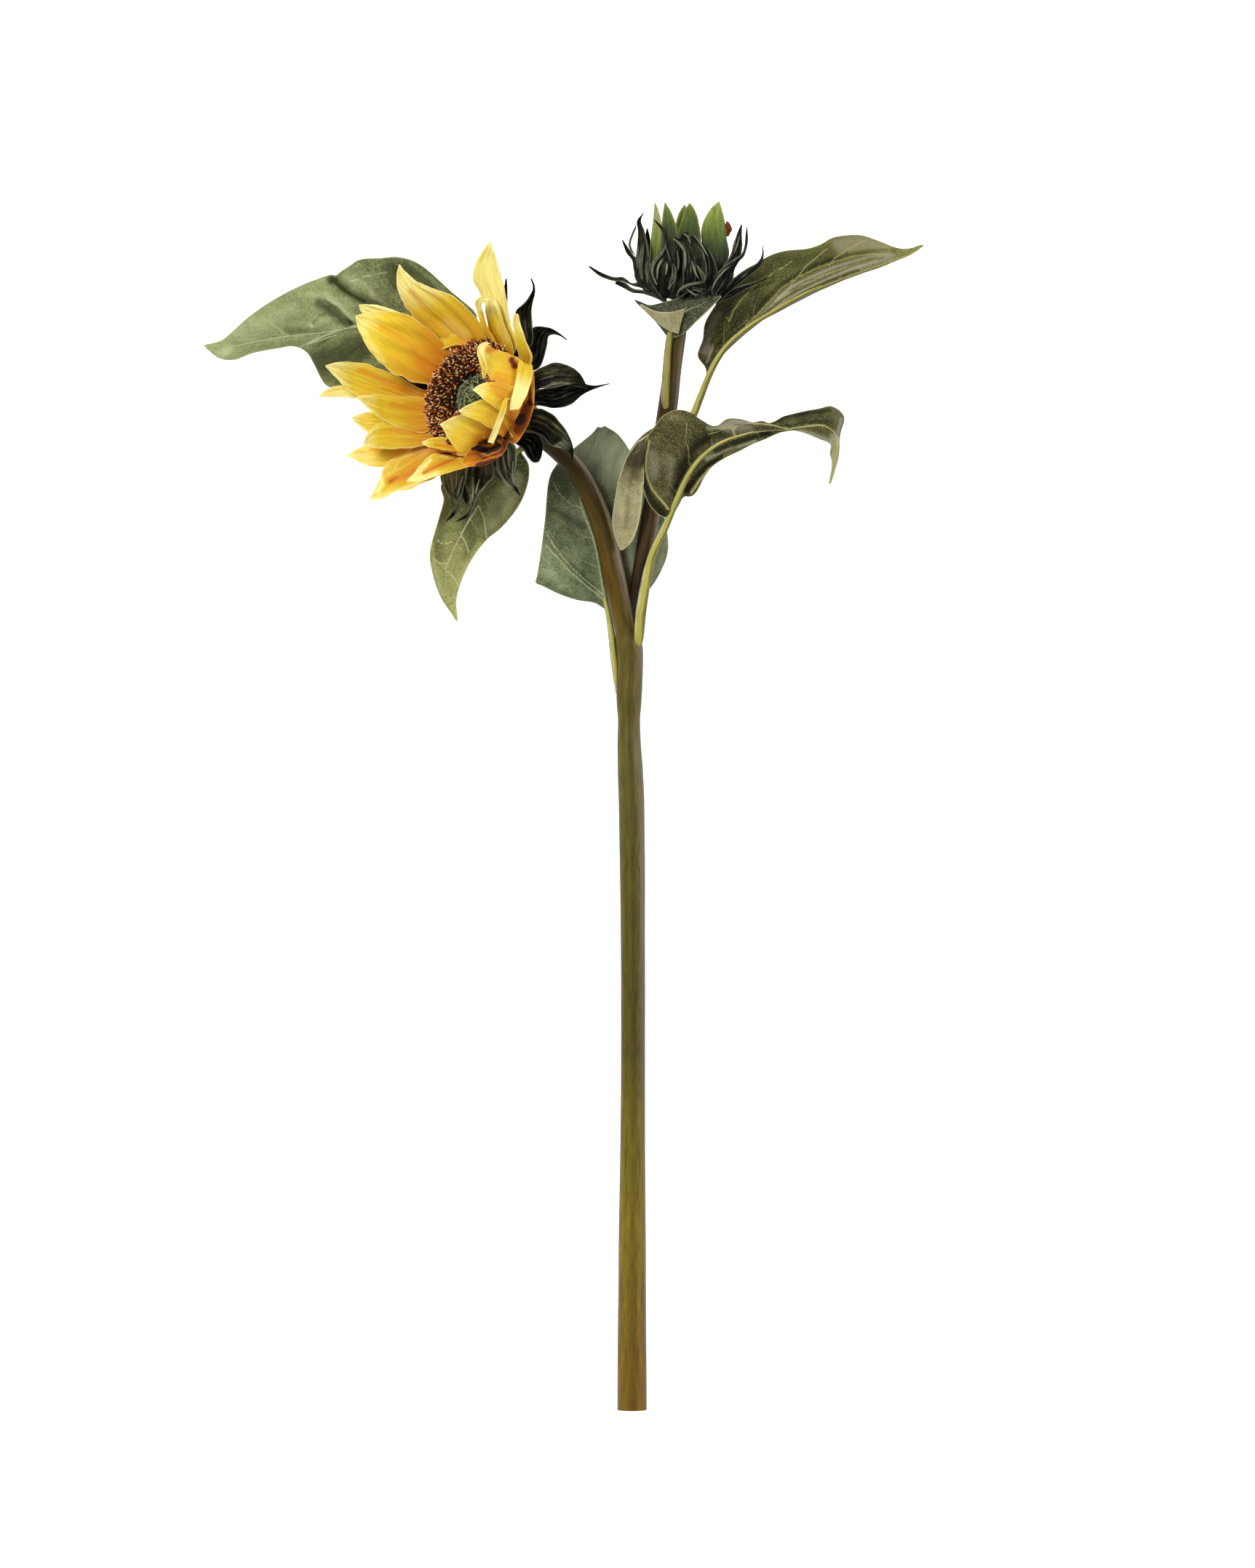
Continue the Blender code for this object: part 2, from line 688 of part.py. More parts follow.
def bud_parts():
    """A cup-shaped receptacle, green petals that stand up from it, and dark bracts that close round them."""
    cup = [(0, 19.0), (8.0, 18.0), (14.5, 14.0), (15.5, 9.0), (13.0, 5.0), (8.5, 2.0), (5.2, 0), (0, 0)]
    turned_object("bud_receptacle", cup, BRACT_GREEN, bud, 20)
    petals = [(95, 42), (205, 43), (242, 43), (288, 43.5), (338, 44)]
    for number, (azimuth, length) in enumerate(petals, 1):
        grid = strap_grid((16.2, 11.5), (66, 86, 98), length, 7.0, BUD_PETAL_OUTLINE, -1.0, 5, 2)
        add_strap(f"bud_petal_{number}", bud, azimuth, grid, PETAL_THICKNESS, BUD_PETAL_GREEN)
    bracts = [
        (0, (25, 45, 42), 46),
        (45, (25, 66, 92), 34),
        (90, (25, 66, 95), 34),
        (135, (25, 66, 95), 36),
        (180, (10, 28, 20), 40),
        (225, (25, 66, 92), 38),
        (270, (25, 66, 95), 32),
        (315, (25, 66, 90), 36),
    ]
    for number, (azimuth, slopes, length) in enumerate(bracts, 1):
        grid = strap_grid((12.6, 3.2), slopes, length, 5.8, BUD_BRACT_OUTLINE, -0.8, 5, 2)
        add_strap(f"bud_bract_{number}", bud, azimuth, grid, BRACT_THICKNESS, BRACT_GREEN)


bud_parts()
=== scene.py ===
"""A cut sunflower of dyed cloth on a moulded stalk, lying on a table: one open flower, one bud, six leaves.

+Y runs from the stalk's cut end to the bud, +Z is up from the table, and lengths are millimetres until they
go into a mesh.
"""

import math

import bpy
import numpy as np
from mathutils import Matrix, Vector


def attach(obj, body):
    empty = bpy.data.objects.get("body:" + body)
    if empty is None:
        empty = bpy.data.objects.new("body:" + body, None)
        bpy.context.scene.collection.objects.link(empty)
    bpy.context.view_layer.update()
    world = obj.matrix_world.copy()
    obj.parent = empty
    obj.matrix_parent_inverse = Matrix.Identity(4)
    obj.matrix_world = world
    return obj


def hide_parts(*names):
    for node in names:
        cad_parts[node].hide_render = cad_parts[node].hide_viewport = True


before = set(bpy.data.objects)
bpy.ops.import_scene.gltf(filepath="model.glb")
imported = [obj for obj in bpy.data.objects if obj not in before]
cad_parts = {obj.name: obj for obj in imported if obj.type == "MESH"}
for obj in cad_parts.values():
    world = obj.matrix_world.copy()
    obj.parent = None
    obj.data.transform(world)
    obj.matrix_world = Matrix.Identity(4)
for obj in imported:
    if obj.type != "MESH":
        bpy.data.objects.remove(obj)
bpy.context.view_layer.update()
scene = bpy.context.scene
MM = 0.001


# ------------------------------------------------------------------ the view
# The flower lies down, so the camera stands over it and looks straight down, with the stalk's cut end at the
# bottom of the picture and the bud at the top. A long lens keeps the petals nearest to it from swelling.

VIEW_CENTRE = (35.4, 12.4)
VIEW_HEIGHT = 3608.0

camera_data = bpy.data.cameras.new("overhead_camera")
camera_data.lens = 150
camera_data.sensor_width = 36
camera_data.clip_end = 20
camera = bpy.data.objects.new("overhead_camera", camera_data)
scene.collection.objects.link(camera)
camera.location = (VIEW_CENTRE[0] * MM, VIEW_CENTRE[1] * MM, VIEW_HEIGHT * MM)
scene.camera = camera
scene.view_settings.view_transform = "Standard"


# ------------------------------------------------------------------ stalk and flower neck
# The stalk is a polyethylene bar moulded round a wire, olive and brown, sawn flat at its lower end and
# drawn in a little under the fork. There it bends left and then up into the back of the flower as the neck.
# It was sprayed unevenly, and has a soft gloss.


def smooth(points, count):
    """count + 1 points on a smooth curve through the given ones, which are evenly spaced along it."""
    p = np.asarray(points, float)
    p = np.vstack([2 * p[0] - p[1], p, 2 * p[-1] - p[-2]])
    place = np.linspace(0, len(p) - 3, count + 1)
    i = np.minimum(place.astype(int), len(p) - 4)
    t = (place - i)[:, None]
    a, b, c, d = p[i], p[i + 1], p[i + 2], p[i + 3]
    return 0.5 * (2 * b + (c - a) * t + (2 * a - 5 * b + 4 * c - d) * t**2 + (3 * b - a - 3 * c + d) * t**3)


def distance_along(path):
    """How far along its path each point is."""
    return np.concatenate([[0], np.cumsum(np.linalg.norm(np.diff(path, axis=0), axis=1))])


def linear(code):
    """A linear colour from its sRGB hex code."""
    parts = [int(code[i : i + 2], 16) / 255 for i in (1, 3, 5)]
    return (*[v / 12.92 if v <= 0.04045 else ((v + 0.055) / 1.055) ** 2.4 for v in parts], 1.0)


# The output that these kinds of node are read from; the others are read from their first.
READ_FROM = {"Attribute": "Fac", "TexCoord": "Object", "Mix": 2}


def add(tree, kind, values):
    """Adds a shader node and gives its output. Values are properties, inputs, links or its ramp's stops."""
    made = tree.nodes.new("ShaderNode" + kind)
    for name, value in values.items():
        if isinstance(value, bpy.types.NodeSocket):
            tree.links.new(value, made.inputs[name])
        elif name == "stops":
            ramp = made.color_ramp.elements
            while len(ramp) < len(value):
                ramp.new(0.5)
            for stop, (place, code) in zip(ramp, value):
                stop.position = place
                stop.color = linear(code)
        elif isinstance(name, int) or name in made.inputs:
            made.inputs[name].default_value = linear(value) if isinstance(value, str) else value
        else:
            setattr(made, name, value)
    return made.outputs[READ_FROM.get(kind, 0)] if made.outputs else made


def new_material(name):
    made = bpy.data.materials.new(name)
    made.use_nodes = True
    made.node_tree.nodes.clear()
    return made, made.node_tree


def unevenness(x, y, seed):
    """Gentle hills between about -1 and 1, the same each time, for anything a hand or a mould left uneven."""
    draw = np.random.default_rng(seed)
    total = 0
    for step in range(6):
        turn, start = draw.uniform(0, 2 * math.pi, 2)
        pitch = 1.0 + 0.45 * step
        total = total + np.sin((x * math.cos(turn) + y * math.sin(turn)) * pitch + start) / (1 + 0.5 * step)
    return total / 2.4


def skin(rings, sides, start=0):
    """The faces of a closed bar whose points go ring by ring from start: its sides, then its two ends."""
    faces = []
    for ring in range(rings):
        for k in range(sides):
            a, b = (start + ring * sides + corner for corner in (k, (k + 1) % sides))
            faces.append((a, b, b + sides, a + sides))
    first, last = ([start + ring * sides + k for k in range(sides)] for ring in (0, rings))
    return [*faces, tuple(first[::-1]), tuple(last)]


def tube(route, radii, sides, rings, ribs, seed=1):
    """A round bar as points, faces and notes for its finish: how far along, round and to the right."""
    path = smooth(route, rings)
    thick = smooth([(r,) for r in radii], rings)[:, 0]
    along = distance_along(path)
    across = Vector((1, 0, 0))
    points, run, turn, lean = [], [], [], []
    for i, centre in enumerate(path):
        ahead = Vector(path[min(i + 1, rings)] - path[max(i - 1, 0)]).normalized()
        across = (across - ahead * across.dot(ahead)).normalized()
        upward = across.cross(ahead).normalized()
        for k in range(sides):
            angle = 2 * math.pi * k / sides + math.pi
            ridge = math.sin(5 * angle + 1.2) + unevenness(angle * 3, along[i] / 18, seed)
            reach = thick[i] * (1 + ribs * ridge)
            sideways, raised = across * math.sin(angle) * reach, upward * math.cos(angle) * reach
            points.append(Vector(centre) + sideways + raised)
            run.append(along[i])
            turn.append(abs(2 * k / sides - 1))
            lean.append((1 + math.sin(angle)) / 2)
    notes = {"run": np.array(run), "turn": np.array(turn), "lean": np.array(lean)}
    return np.array(points), skin(rings, sides), notes


def make_piece(name, shapes, materials, sharp=40, node=None):
    """Joins shapes of (points, faces, notes, material number) into one piece, which stands for the CAD node.

    An edge sharper than sharp, in degrees, stays crisp. The node is only given where it isn't called name.
    """
    points, faces, numbers, notes = [], [], [], {}
    kinds = sorted({kind for shape in shapes for kind in shape[2]})
    start = 0
    for shape_points, shape_faces, shape_notes, number in shapes:
        points.append(shape_points)
        faces.extend(tuple(start + i for i in face) for face in shape_faces)
        numbers.extend([number] * len(shape_faces) if np.isscalar(number) else number)
        for kind in kinds:
            notes.setdefault(kind, []).append(shape_notes.get(kind, np.zeros(len(shape_points))))
        start += len(shape_points)
    mesh = bpy.data.meshes.new(name)
    mesh.from_pydata((np.concatenate(points) * MM).tolist(), [], faces)
    for kind in kinds:
        note = mesh.attributes.new(kind, "FLOAT", "POINT")
        note.data.foreach_set("value", np.concatenate(notes[kind]).astype(np.float32))
    for material in materials:
        mesh.materials.append(material)
    mesh.polygons.foreach_set("material_index", numbers)
    mesh.shade_smooth()
    mesh.set_sharp_from_angle(angle=math.radians(sharp))
    mesh.update()
    piece = bpy.data.objects.new(f"{name}_surface", mesh)
    scene.collection.objects.link(piece)
    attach(piece, "root")
    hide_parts(node or name)


def stalk_plastic(name, lengthwise, painted_side_light, painted_highlight_along, roughness):
    """Moulded polyethylene under thin paint: streaks drawn out along it, fine grooves, and painted light and
    shade.

    lengthwise gives the colour by metres along. The next stops are painted light and shade across it from
    left to right, and the last say where along it a painted highlight strip shows near its right side.
    """
    material, tree = new_material(name)
    run, turn, lean = (add(tree, "Attribute", {"attribute_name": note}) for note in ("run", "turn", "lean"))
    drawn = add(tree, "Math", {"operation": "MULTIPLY", 0: run, 1: 0.006})
    lay = add(tree, "CombineXYZ", {"X": turn, "Y": drawn})
    streaks = add(tree, "TexNoise", {"Scale": 9, "Detail": 6, "Roughness": 0.7, "Vector": lay})
    wander = add(tree, "Math", {"operation": "MULTIPLY_ADD", 0: streaks, 1: 0.22, 2: -0.11})
    leaning = add(tree, "Math", {"operation": "ADD", 0: lean, 1: wander})
    place = add(tree, "Math", {"operation": "MULTIPLY", 0: run, 1: MM})
    colour = add(tree, "ValToRGB", {"stops": lengthwise, "Fac": place})
    streak_stops = [(0.32, "#7e7254"), (0.45, "#b0b0a6"), (0.55, "#bec29c"), (0.68, "#ecdfae")]
    # The paint's own streaks, then bands of painted light and shade across it from left to right.
    for share, stops, measure in ((0.8, streak_stops, streaks), (0.9, painted_side_light, leaning)):
        tint = add(tree, "ValToRGB", {"stops": stops, "Fac": measure})
        overlay = {"data_type": "RGBA", "blend_type": "OVERLAY", 0: share}
        colour = add(tree, "Mix", {**overlay, 6: colour, 7: tint})
    # A painted highlight strip near its right side, as bright along it as the last stops say.
    painted_highlight_stops = [(0.76, "#000000"), (0.85, "#ffffff"), (0.93, "#ffffff"), (0.98, "#000000")]
    painted_highlight_line = add(tree, "ValToRGB", {"stops": painted_highlight_stops, "Fac": leaning})
    painted_highlight_run = add(tree, "ValToRGB", {"stops": painted_highlight_along, "Fac": place})
    painted_highlight_share = add(tree, "Math", {"operation": "MULTIPLY", 0: painted_highlight_line, 1: painted_highlight_run})
    colour = add(tree, "Mix", {"data_type": "RGBA", 0: painted_highlight_share, 6: colour, 7: "#9c8f80"})
    groove = add(tree, "TexNoise", {"Scale": 22, "Detail": 4, "Vector": lay})
    relief = add(tree, "Bump", {"Strength": 0.3, "Distance": 0.0006, "Height": groove})
    look = {"Roughness": roughness, "IOR": 1.5, "Specular IOR Level": 0.18}
    surface = add(tree, "BsdfPrincipled", {**look, "Base Color": colour, "Normal": relief})
    add(tree, "OutputMaterial", {"Surface": surface})
    return material


STALK_ROUTE = [(37.8, -332.4, 8.2), (37.9, -250, 7.9), (38.3, -170, 7.8), (38.4, -90, 7.7), (37.8, -10, 7.6),
               (37, 18, 7.5), (36.3, 34, 7.4), (36.2, 48, 7.3), (36.2, 59, 7.5), (36.8, 80, 7.4),
               (36.2, 90, 7.5), (34.2, 100, 8.2), (29.6, 120, 9.6), (25.4, 140, 10.4), (19.9, 160, 10.8),
               (11.2, 179.5, 11.6), (4.4, 189, 12.4), (-5, 198, 14.2), (-16, 206.5, 18), (-25.6, 213.2, 23.8),
               (-30.4, 215.6, 29.2)]
STALK_RADII = [8.2, 7.6, 6.8, 6.7, 7.1, 7, 6.5, 6.2, 7, 7.2, 7.3, 6.3, 6.6, 6.2, 6.1, 5.8, 5.6, 5.5, 5.5, 5.8,
               6.2]

stalk_finish = stalk_plastic(
    "painted_polyethylene_stalk",
    [(0, "#69511d"), (0.05, "#695622"), (0.104, "#6d5f23"), (0.16, "#5f5420"), (0.2, "#4a431a"),
     (0.26, "#4c451d"), (0.34, "#504b22"), (0.38, "#504921"), (0.425, "#50461a"), (0.455, "#4f3c0c"),
     (0.497, "#403208"), (0.535, "#362a10"), (0.58, "#2a1e0e")],
    # Painted light and shade across the stalk from left to right.
    [(0, "#9c9a80"), (0.12, "#d4d0b0"), (0.32, "#d2cea6"), (0.5, "#a8a68c"), (0.66, "#aea994"),
     (0.8, "#ccc6b6"), (1, "#9c9286")],
    # Where along the stalk the painted highlight strip shows.
    [(0.13, "#000000"), (0.19, "#505050"), (0.3, "#808080"), (0.4, "#303030"), (0.45, "#b0b0b0"),
     (0.53, "#c8c8c8"), (0.56, "#101010")],
    roughness=0.38,
)
stalk = tube(STALK_ROUTE, STALK_RADII, sides=40, rings=320, ribs=0.012)
make_piece("stalk", [(*stalk, 0)], [stalk_finish], node="stem")


# ------------------------------------------------------------------ side branch
# A thinner bar of the same plastic, moulded on at the fork. It climbs behind a leaf, thickens into a ring
# where the small leaf clasps it, and carries the bud. Its paint is darker and more purple than the stalk's.

BRANCH_ROUTE = [(37.6, 90, 8), (39.2, 105, 8.2), (42, 125, 9), (46.4, 150, 11), (50.4, 175, 13.5),
                (54, 200, 16.5), (57.4, 219, 19), (60, 240, 21.4), (62.8, 262, 23.8), (64.8, 277, 25.6)]
BRANCH_RADII = [4, 4.2, 4.6, 4.9, 4.9, 4.9, 5.4, 5, 5.1, 5]

branch_finish = stalk_plastic(
    "painted_polyethylene_branch",
    [(0, "#20150a"), (0.03, "#1f150a"), (0.06, "#453824"), (0.1, "#4a3d28"), (0.13, "#332614"),
     (0.16, "#443a1c"), (0.2, "#484220")],
    # Painted light and shade across the branch from left to right.
    [(0, "#aaa298"), (0.2, "#dcd0c6"), (0.4, "#aaa498"), (0.68, "#b4ada4"), (0.86, "#dad0c4"),
     (1, "#96908a")],
    # Where along the branch the painted highlight strip shows.
    [(0.03, "#000000"), (0.06, "#606060"), (0.1, "#808080"), (0.2, "#606060")],
    roughness=0.34,
)
branch = tube(BRANCH_ROUTE, BRANCH_RADII, sides=28, rings=150, ribs=0.012, seed=3)
make_piece("bud_branch", [(*branch, 0)], [branch_finish])


# ------------------------------------------------------------------ leaves
# Six leaves cut from printed polyester cloth and pressed hot in a mould, which raises the midrib and side
# veins and puckers the cloth between them. Each is glued to a wired, yellow-green moulded stalk that runs
# on as its midrib.

LEAF_THICKNESS = 0.45
# How far the mould raises each vein, and the cloth's own crumples.
MIDRIB_RISE, VEIN_RISE, SIDE_VEIN_RISE, CRUMPLE_RISE = 0.42, 0.4, 0.25, 0.3
# How far the side veins lean toward the tip, and how much more they do so farther out.
VEIN_SLOPE, VEIN_CURVE = 0.9, 0.004
# The lowest that a leaf's middle and its underside come to the table.
LOWEST_MIDDLE, LOWEST_UNDER = 0.35, 0.05


def line_distance(x, y, points):
    """How far each (x, y) is from a line through the given points."""
    nearest = np.full(np.shape(x), 1e9)
    for (ax, ay), (bx, by) in zip(points, points[1:]):
        long = max((bx - ax) ** 2 + (by - ay) ** 2, 1e-6)
        t = np.clip(((x - ax) * (bx - ax) + (y - ay) * (by - ay)) / long, 0, 1)
        nearest = np.minimum(nearest, np.hypot(x - ax - t * (bx - ax), y - ay - t * (by - ay)))
    return nearest


def upper_normals(normal):
    """A sheet's normals made one unit long, on the side that mostly faces up."""
    normal = normal / np.maximum(np.linalg.norm(normal, axis=2, keepdims=True), 1e-9)
    return -normal if normal[..., 2].mean() < 0 else normal


def blade(midrib, left, right, bow, seed, along, across, spacing, pucker, ripple, rib, rib_start=-20,
          veins=(), creases=(), shades=()):
    """A pressed leaf blade through its midrib and margins, with raised veins and the cloth puckered between.

    bow is how far each half is raised halfway out, and spacing is the distance between its faint side
    veins. rib is the midrib's half width, and rib_start is how far from the root it begins to show. veins
    are the strong ones, as (width, points), and creases are long folds, as (width, height, points). shades
    are strokes of painted light and shade, as (width, amount, points): paler where the amount is above zero
    and darker where it is below, mostly painted highlights on ridges and painted shade in troughs and under
    other parts.
    """
    inner = smooth(midrib, along)
    swell = np.sin(np.linspace(0, math.pi, along + 1))
    sheets, out = [], []
    for margin, lift in zip((left, right), bow):
        outer = smooth(margin, along)
        between = (inner + outer) / 2 + np.outer(swell, (0, 0, lift))
        sheet = np.stack([smooth(row, across) for row in np.stack([inner, between, outer], axis=1)])
        sheets.append(sheet)
        out.append(np.stack([distance_along(row) for row in sheet]))
    grid = np.concatenate([sheets[0][:, ::-1], sheets[1][:, 1:]], axis=1)
    off = np.concatenate([out[0][:, ::-1], out[1][:, 1:]], axis=1)
    reach = np.concatenate([np.repeat(out[k][:, -1:], across + 1 - k, 1) for k in (0, 1)], axis=1)
    length = distance_along(inner)
    far = np.repeat(length[:, None], 2 * across + 1, 1)
    side = np.sign(np.arange(2 * across + 1) - across)[None, :]
    edge = reach - off
    share = off / np.maximum(reach, 0.01)
    wander = 0.22 * unevenness(far / 16, off * side / 16, seed)
    begun = far - spacing * (0.3 + 0.25 * side) - VEIN_SLOPE * off - VEIN_CURVE * off**2
    phase = begun / spacing + wander
    count = np.round(phase)
    gap = np.abs(phase - count) * spacing / math.hypot(1, VEIN_SLOPE)
    fade = np.clip(edge / 4, 0, 1) * (count >= 0) * np.clip((length[-1] - far) / 14, 0, 1)
    side_vein = np.exp(-((gap / (0.6 - 0.3 * share)) ** 2)) * fade * (1 - 0.4 * share)
    tapered = np.exp(-((off / (rib * (1 - 0.7 * far / length[-1]))) ** 2))
    middle = tapered * (rib > 0.2) * np.clip((far - rib_start) / 8, 0, 1)
    seen = grid[..., 0], grid[..., 1]
    strong, folded, tint = 0, 0, np.zeros_like(off)
    for width, points in veins:
        strong = np.maximum(strong, np.exp(-((line_distance(*seen, points) / width) ** 2)))
    for width, height, points in creases:
        folded = folded + height * np.exp(-((line_distance(*seen, points) / width) ** 2))
    # Strokes of painted light and shade, mostly: paler above zero, darker below, with ragged edges.
    for width, amount, points in shades:
        away = line_distance(*seen, points) + 0.25 * width * unevenness(far / 4, off * side / 3, seed + 6)
        tint = tint + amount * np.exp(-np.abs(away / width) ** 3)
    cloth = np.clip(off / 4, 0, 1) * np.clip(edge / 5, 0, 1)
    swollen = (np.abs(np.sin(math.pi * phase)) ** 0.8 - 0.5) * pucker * cloth
    hills = unevenness(far / 9, off * side / 8, seed + 1) * pucker * cloth
    crumple = unevenness(far / 2.8, off * side / 2.6, seed + 5) * CRUMPLE_RISE * cloth
    margin_room = np.clip(1 - edge / 9, 0, 1) ** 2 * np.clip(far / 8, 0, 1)
    frill = unevenness(far / 7, side * 3.0, seed + 2) * ripple * margin_room
    height = MIDRIB_RISE * middle + SIDE_VEIN_RISE * side_vein + VEIN_RISE * strong
    height = height + swollen + hills + crumple + frill + folded
    normal = upper_normals(np.cross(np.gradient(grid, axis=1), np.gradient(grid, axis=0)))
    tip = np.clip((length[-1] - far) / 6, 0, 1)[..., None]
    sheet = grid + normal * (height[..., None] * tip)
    sheet[..., 2] = np.maximum(sheet[..., 2], LOWEST_MIDDLE)
    top, under = sheet + normal * LEAF_THICKNESS / 2, sheet - normal * LEAF_THICKNESS / 2
    under[..., 2] = np.maximum(under[..., 2], LOWEST_UNDER)
    vein = np.maximum(np.maximum(middle, strong), side_vein * 0.6)
    return shell(top, under, {"run": far / length[-1], "edge": edge, "vein": vein, "tint": tint})


def shell(top, under, notes):
    """A thin closed sheet between two grids of points: its upper faces, its under faces and its cut edge."""
    rows, columns = top.shape[:2]
    count = rows * columns
    turned = np.dot(np.cross(top[1, 1] - top[0, 1], top[1, 2] - top[1, 1]), top[1, 1] - under[1, 1]) > 0
    upper, lower, edge = [], [], []
    for r in range(rows - 1):
        for c in range(columns - 1):
            a = r * columns + c
            face = (a, a + columns, a + columns + 1, a + 1)
            upper.append(face if turned else face[::-1])
            lower.append(tuple(count + i for i in (face[::-1] if turned else face)))
    rim = [r * columns for r in range(rows)] + [(rows - 1) * columns + c for c in range(1, columns)]
    rim += [r * columns + columns - 1 for r in range(rows - 2, -1, -1)] + list(range(columns - 2, 0, -1))
    for a, b in zip(rim, rim[1:] + rim[:1]):
        face = (a, b, count + b, count + a)
        edge.append(face[::-1] if turned else face)
    points = np.concatenate([top.reshape(-1, 3), under.reshape(-1, 3)])
    numbers = [0] * len(upper) + [1] * len(lower) + [0] * len(edge)
    return points, upper + lower + edge, {k: np.tile(v.ravel(), 2) for k, v in notes.items()}, numbers


def inked(tree, colour, layers):
    """Lays (measure, start, end, most, ink) over a colour: none where the measure is start, most at end."""
    for measure, start, end, most, ink in layers:
        share = add(tree, "MapRange", {"From Min": start, "From Max": end, "To Max": most, "Value": measure})
        colour = add(tree, "Mix", {"data_type": "RGBA", 0: share, 6: colour, 7: ink})
    return colour


def leaf_cloth(name, dark, middle, light, warm, vein, pale, shadow, tip_share):
    """Printed polyester: greens mottled by spraying, a fine grain, paler veins, and the weave's tooth."""
    material, tree = new_material(name)
    where = add(tree, "TexCoord", {})
    notes = ("run", "tint", "vein", "edge")
    run, tint, veins, edge = (add(tree, "Attribute", {"attribute_name": note}) for note in notes)
    # The clouds that the spray gun left are about 20 mm across.
    clouds = add(tree, "TexNoise", {"Scale": 48, "Detail": 8, "Roughness": 0.74, "Vector": where})
    sprayed = add(tree, "ValToRGB", {"stops": [(0.36, dark), (0.5, middle), (0.64, light)], "Fac": clouds})
    late = add(tree, "Math", {"operation": "POWER", 0: run, 1: 1.8})
    toward_tip = add(tree, "Math", {"operation": "MULTIPLY", 0: late, 1: tip_share})
    warmed = add(tree, "Mix", {"data_type": "RGBA", 0: toward_tip, 6: sprayed, 7: warm})
    # Flecks where the print missed a thread, and pits between the threads where the ink pooled. The threads
    # are 0.3 mm apart, too fine to show, so the flecks are drawn 0.8 mm across and the pits 1.6 mm.
    mottle = {"Detail": 2, "Roughness": 0.6, "Vector": where}
    flecks, pits = (add(tree, "TexNoise", {"Scale": scale, **mottle}) for scale in (1250, 620))
    layers = [
        (flecks, 0.5, 0.75, 0.48, vein),
        (pits, 0.5, 0.75, 0.42, dark),
        # Strokes of painted light and shade: toward the pale colour above zero, as painted highlights, and
        # toward the shadow colour below, as painted shade.
        (tint, 0, 1, 0.95, pale),
        (tint, 0, -1, 0.95, shadow),
        (veins, 0.3, 1, 0.85, vein),
        (edge, 0.7, 0.1, 0.7, vein),
    ]
    colour = inked(tree, warmed, layers)
    grain = add(tree, "Math", {"operation": "ADD", 0: flecks, 1: clouds})
    relief = add(tree, "Bump", {"Strength": 0.8, "Distance": 0.0009, "Height": grain})
    look = {"Roughness": 0.6, "IOR": 1.45, "Specular IOR Level": 0.1, "Base Color": colour, "Normal": relief}
    add(tree, "OutputMaterial", {"Surface": add(tree, "BsdfPrincipled", look)})
    return material


def petiole_plastic(name, lightness):
    """Yellow-green moulded polyethylene, streaked: painted light pales one side, painted shade turns the
    other olive.
    """
    material, tree = new_material(name)
    run, turn, lean = (add(tree, "Attribute", {"attribute_name": note}) for note in ("run", "turn", "lean"))
    drawn = add(tree, "Math", {"operation": "MULTIPLY", 0: run, 1: 0.012})
    lay = add(tree, "CombineXYZ", {"X": turn, "Y": drawn})
    streaks = add(tree, "TexNoise", {"Scale": 5, "Detail": 6, "Roughness": 0.7, "Vector": lay})
    shifted = add(tree, "Math", {"operation": "MULTIPLY_ADD", 0: streaks, 1: 0.9, 2: -0.45})
    place = add(tree, "Math", {"operation": "ADD", 0: lean, 1: shifted})
    # Across it from left to right: pale where painted light falls, then yellow-green, then olive in painted
    # shade.
    green_with_painted_side_light = [
        (0.05, "#7f7a4c"), (0.2, "#c2bc88"), (0.36, "#a19a3c"),
        (0.6, "#aaa442"), (0.78, "#77712a"), (1, "#4d461c"),
    ]
    colour = add(tree, "ValToRGB", {"stops": green_with_painted_side_light, "Fac": place})
    aged = add(tree, "Mix", {"data_type": "RGBA", 0: 1 - lightness, 6: colour, 7: "#4a3f1c"})
    relief = add(tree, "Bump", {"Strength": 0.4, "Distance": 0.0005, "Height": streaks})
    look = {"Roughness": 0.45, "IOR": 1.5, "Specular IOR Level": 0.3, "Base Color": aged, "Normal": relief}
    add(tree, "OutputMaterial", {"Surface": add(tree, "BsdfPrincipled", look)})
    return material


petiole_finish = petiole_plastic("yellow_green_petiole_plastic", lightness=0.92)
aged_petiole_finish = petiole_plastic("aged_petiole_plastic", lightness=0.55)


def leaf_finishes(name, dark, middle, light, warm, vein, tip_share, pale="#8a8468", shadow="#1d1c0e",
                  stalk=petiole_finish):
    """A leaf's three finishes: its printed face, its unprinted back, and its moulded stalk."""
    back_colours = ("#675e40", "#8a825e", "#a69f7a", "#9f9868", "#c3bf94", pale, "#3a3422")
    face = leaf_cloth(f"printed_cloth_{name}", dark, middle, light, warm, vein, pale, shadow, tip_share)
    return [face, leaf_cloth(f"cloth_back_{name}", *back_colours, tip_share), stalk]


def make_leaf(name, shapes, petiole, radii, finishes):
    """A leaf in one piece with its stalk; shapes are its blades and anything else of cloth."""
    stalk = tube(petiole, radii, sides=16, rings=110, ribs=0.03, seed=5)
    make_piece(name, [*shapes, (*stalk, 2)], finishes, sharp=75)


def face_down(shape):
    """The same sheet turned over, so that its unprinted back is the side that shows."""
    points, faces, notes, numbers = shape
    return points, faces, notes, [1 - n for n in numbers]


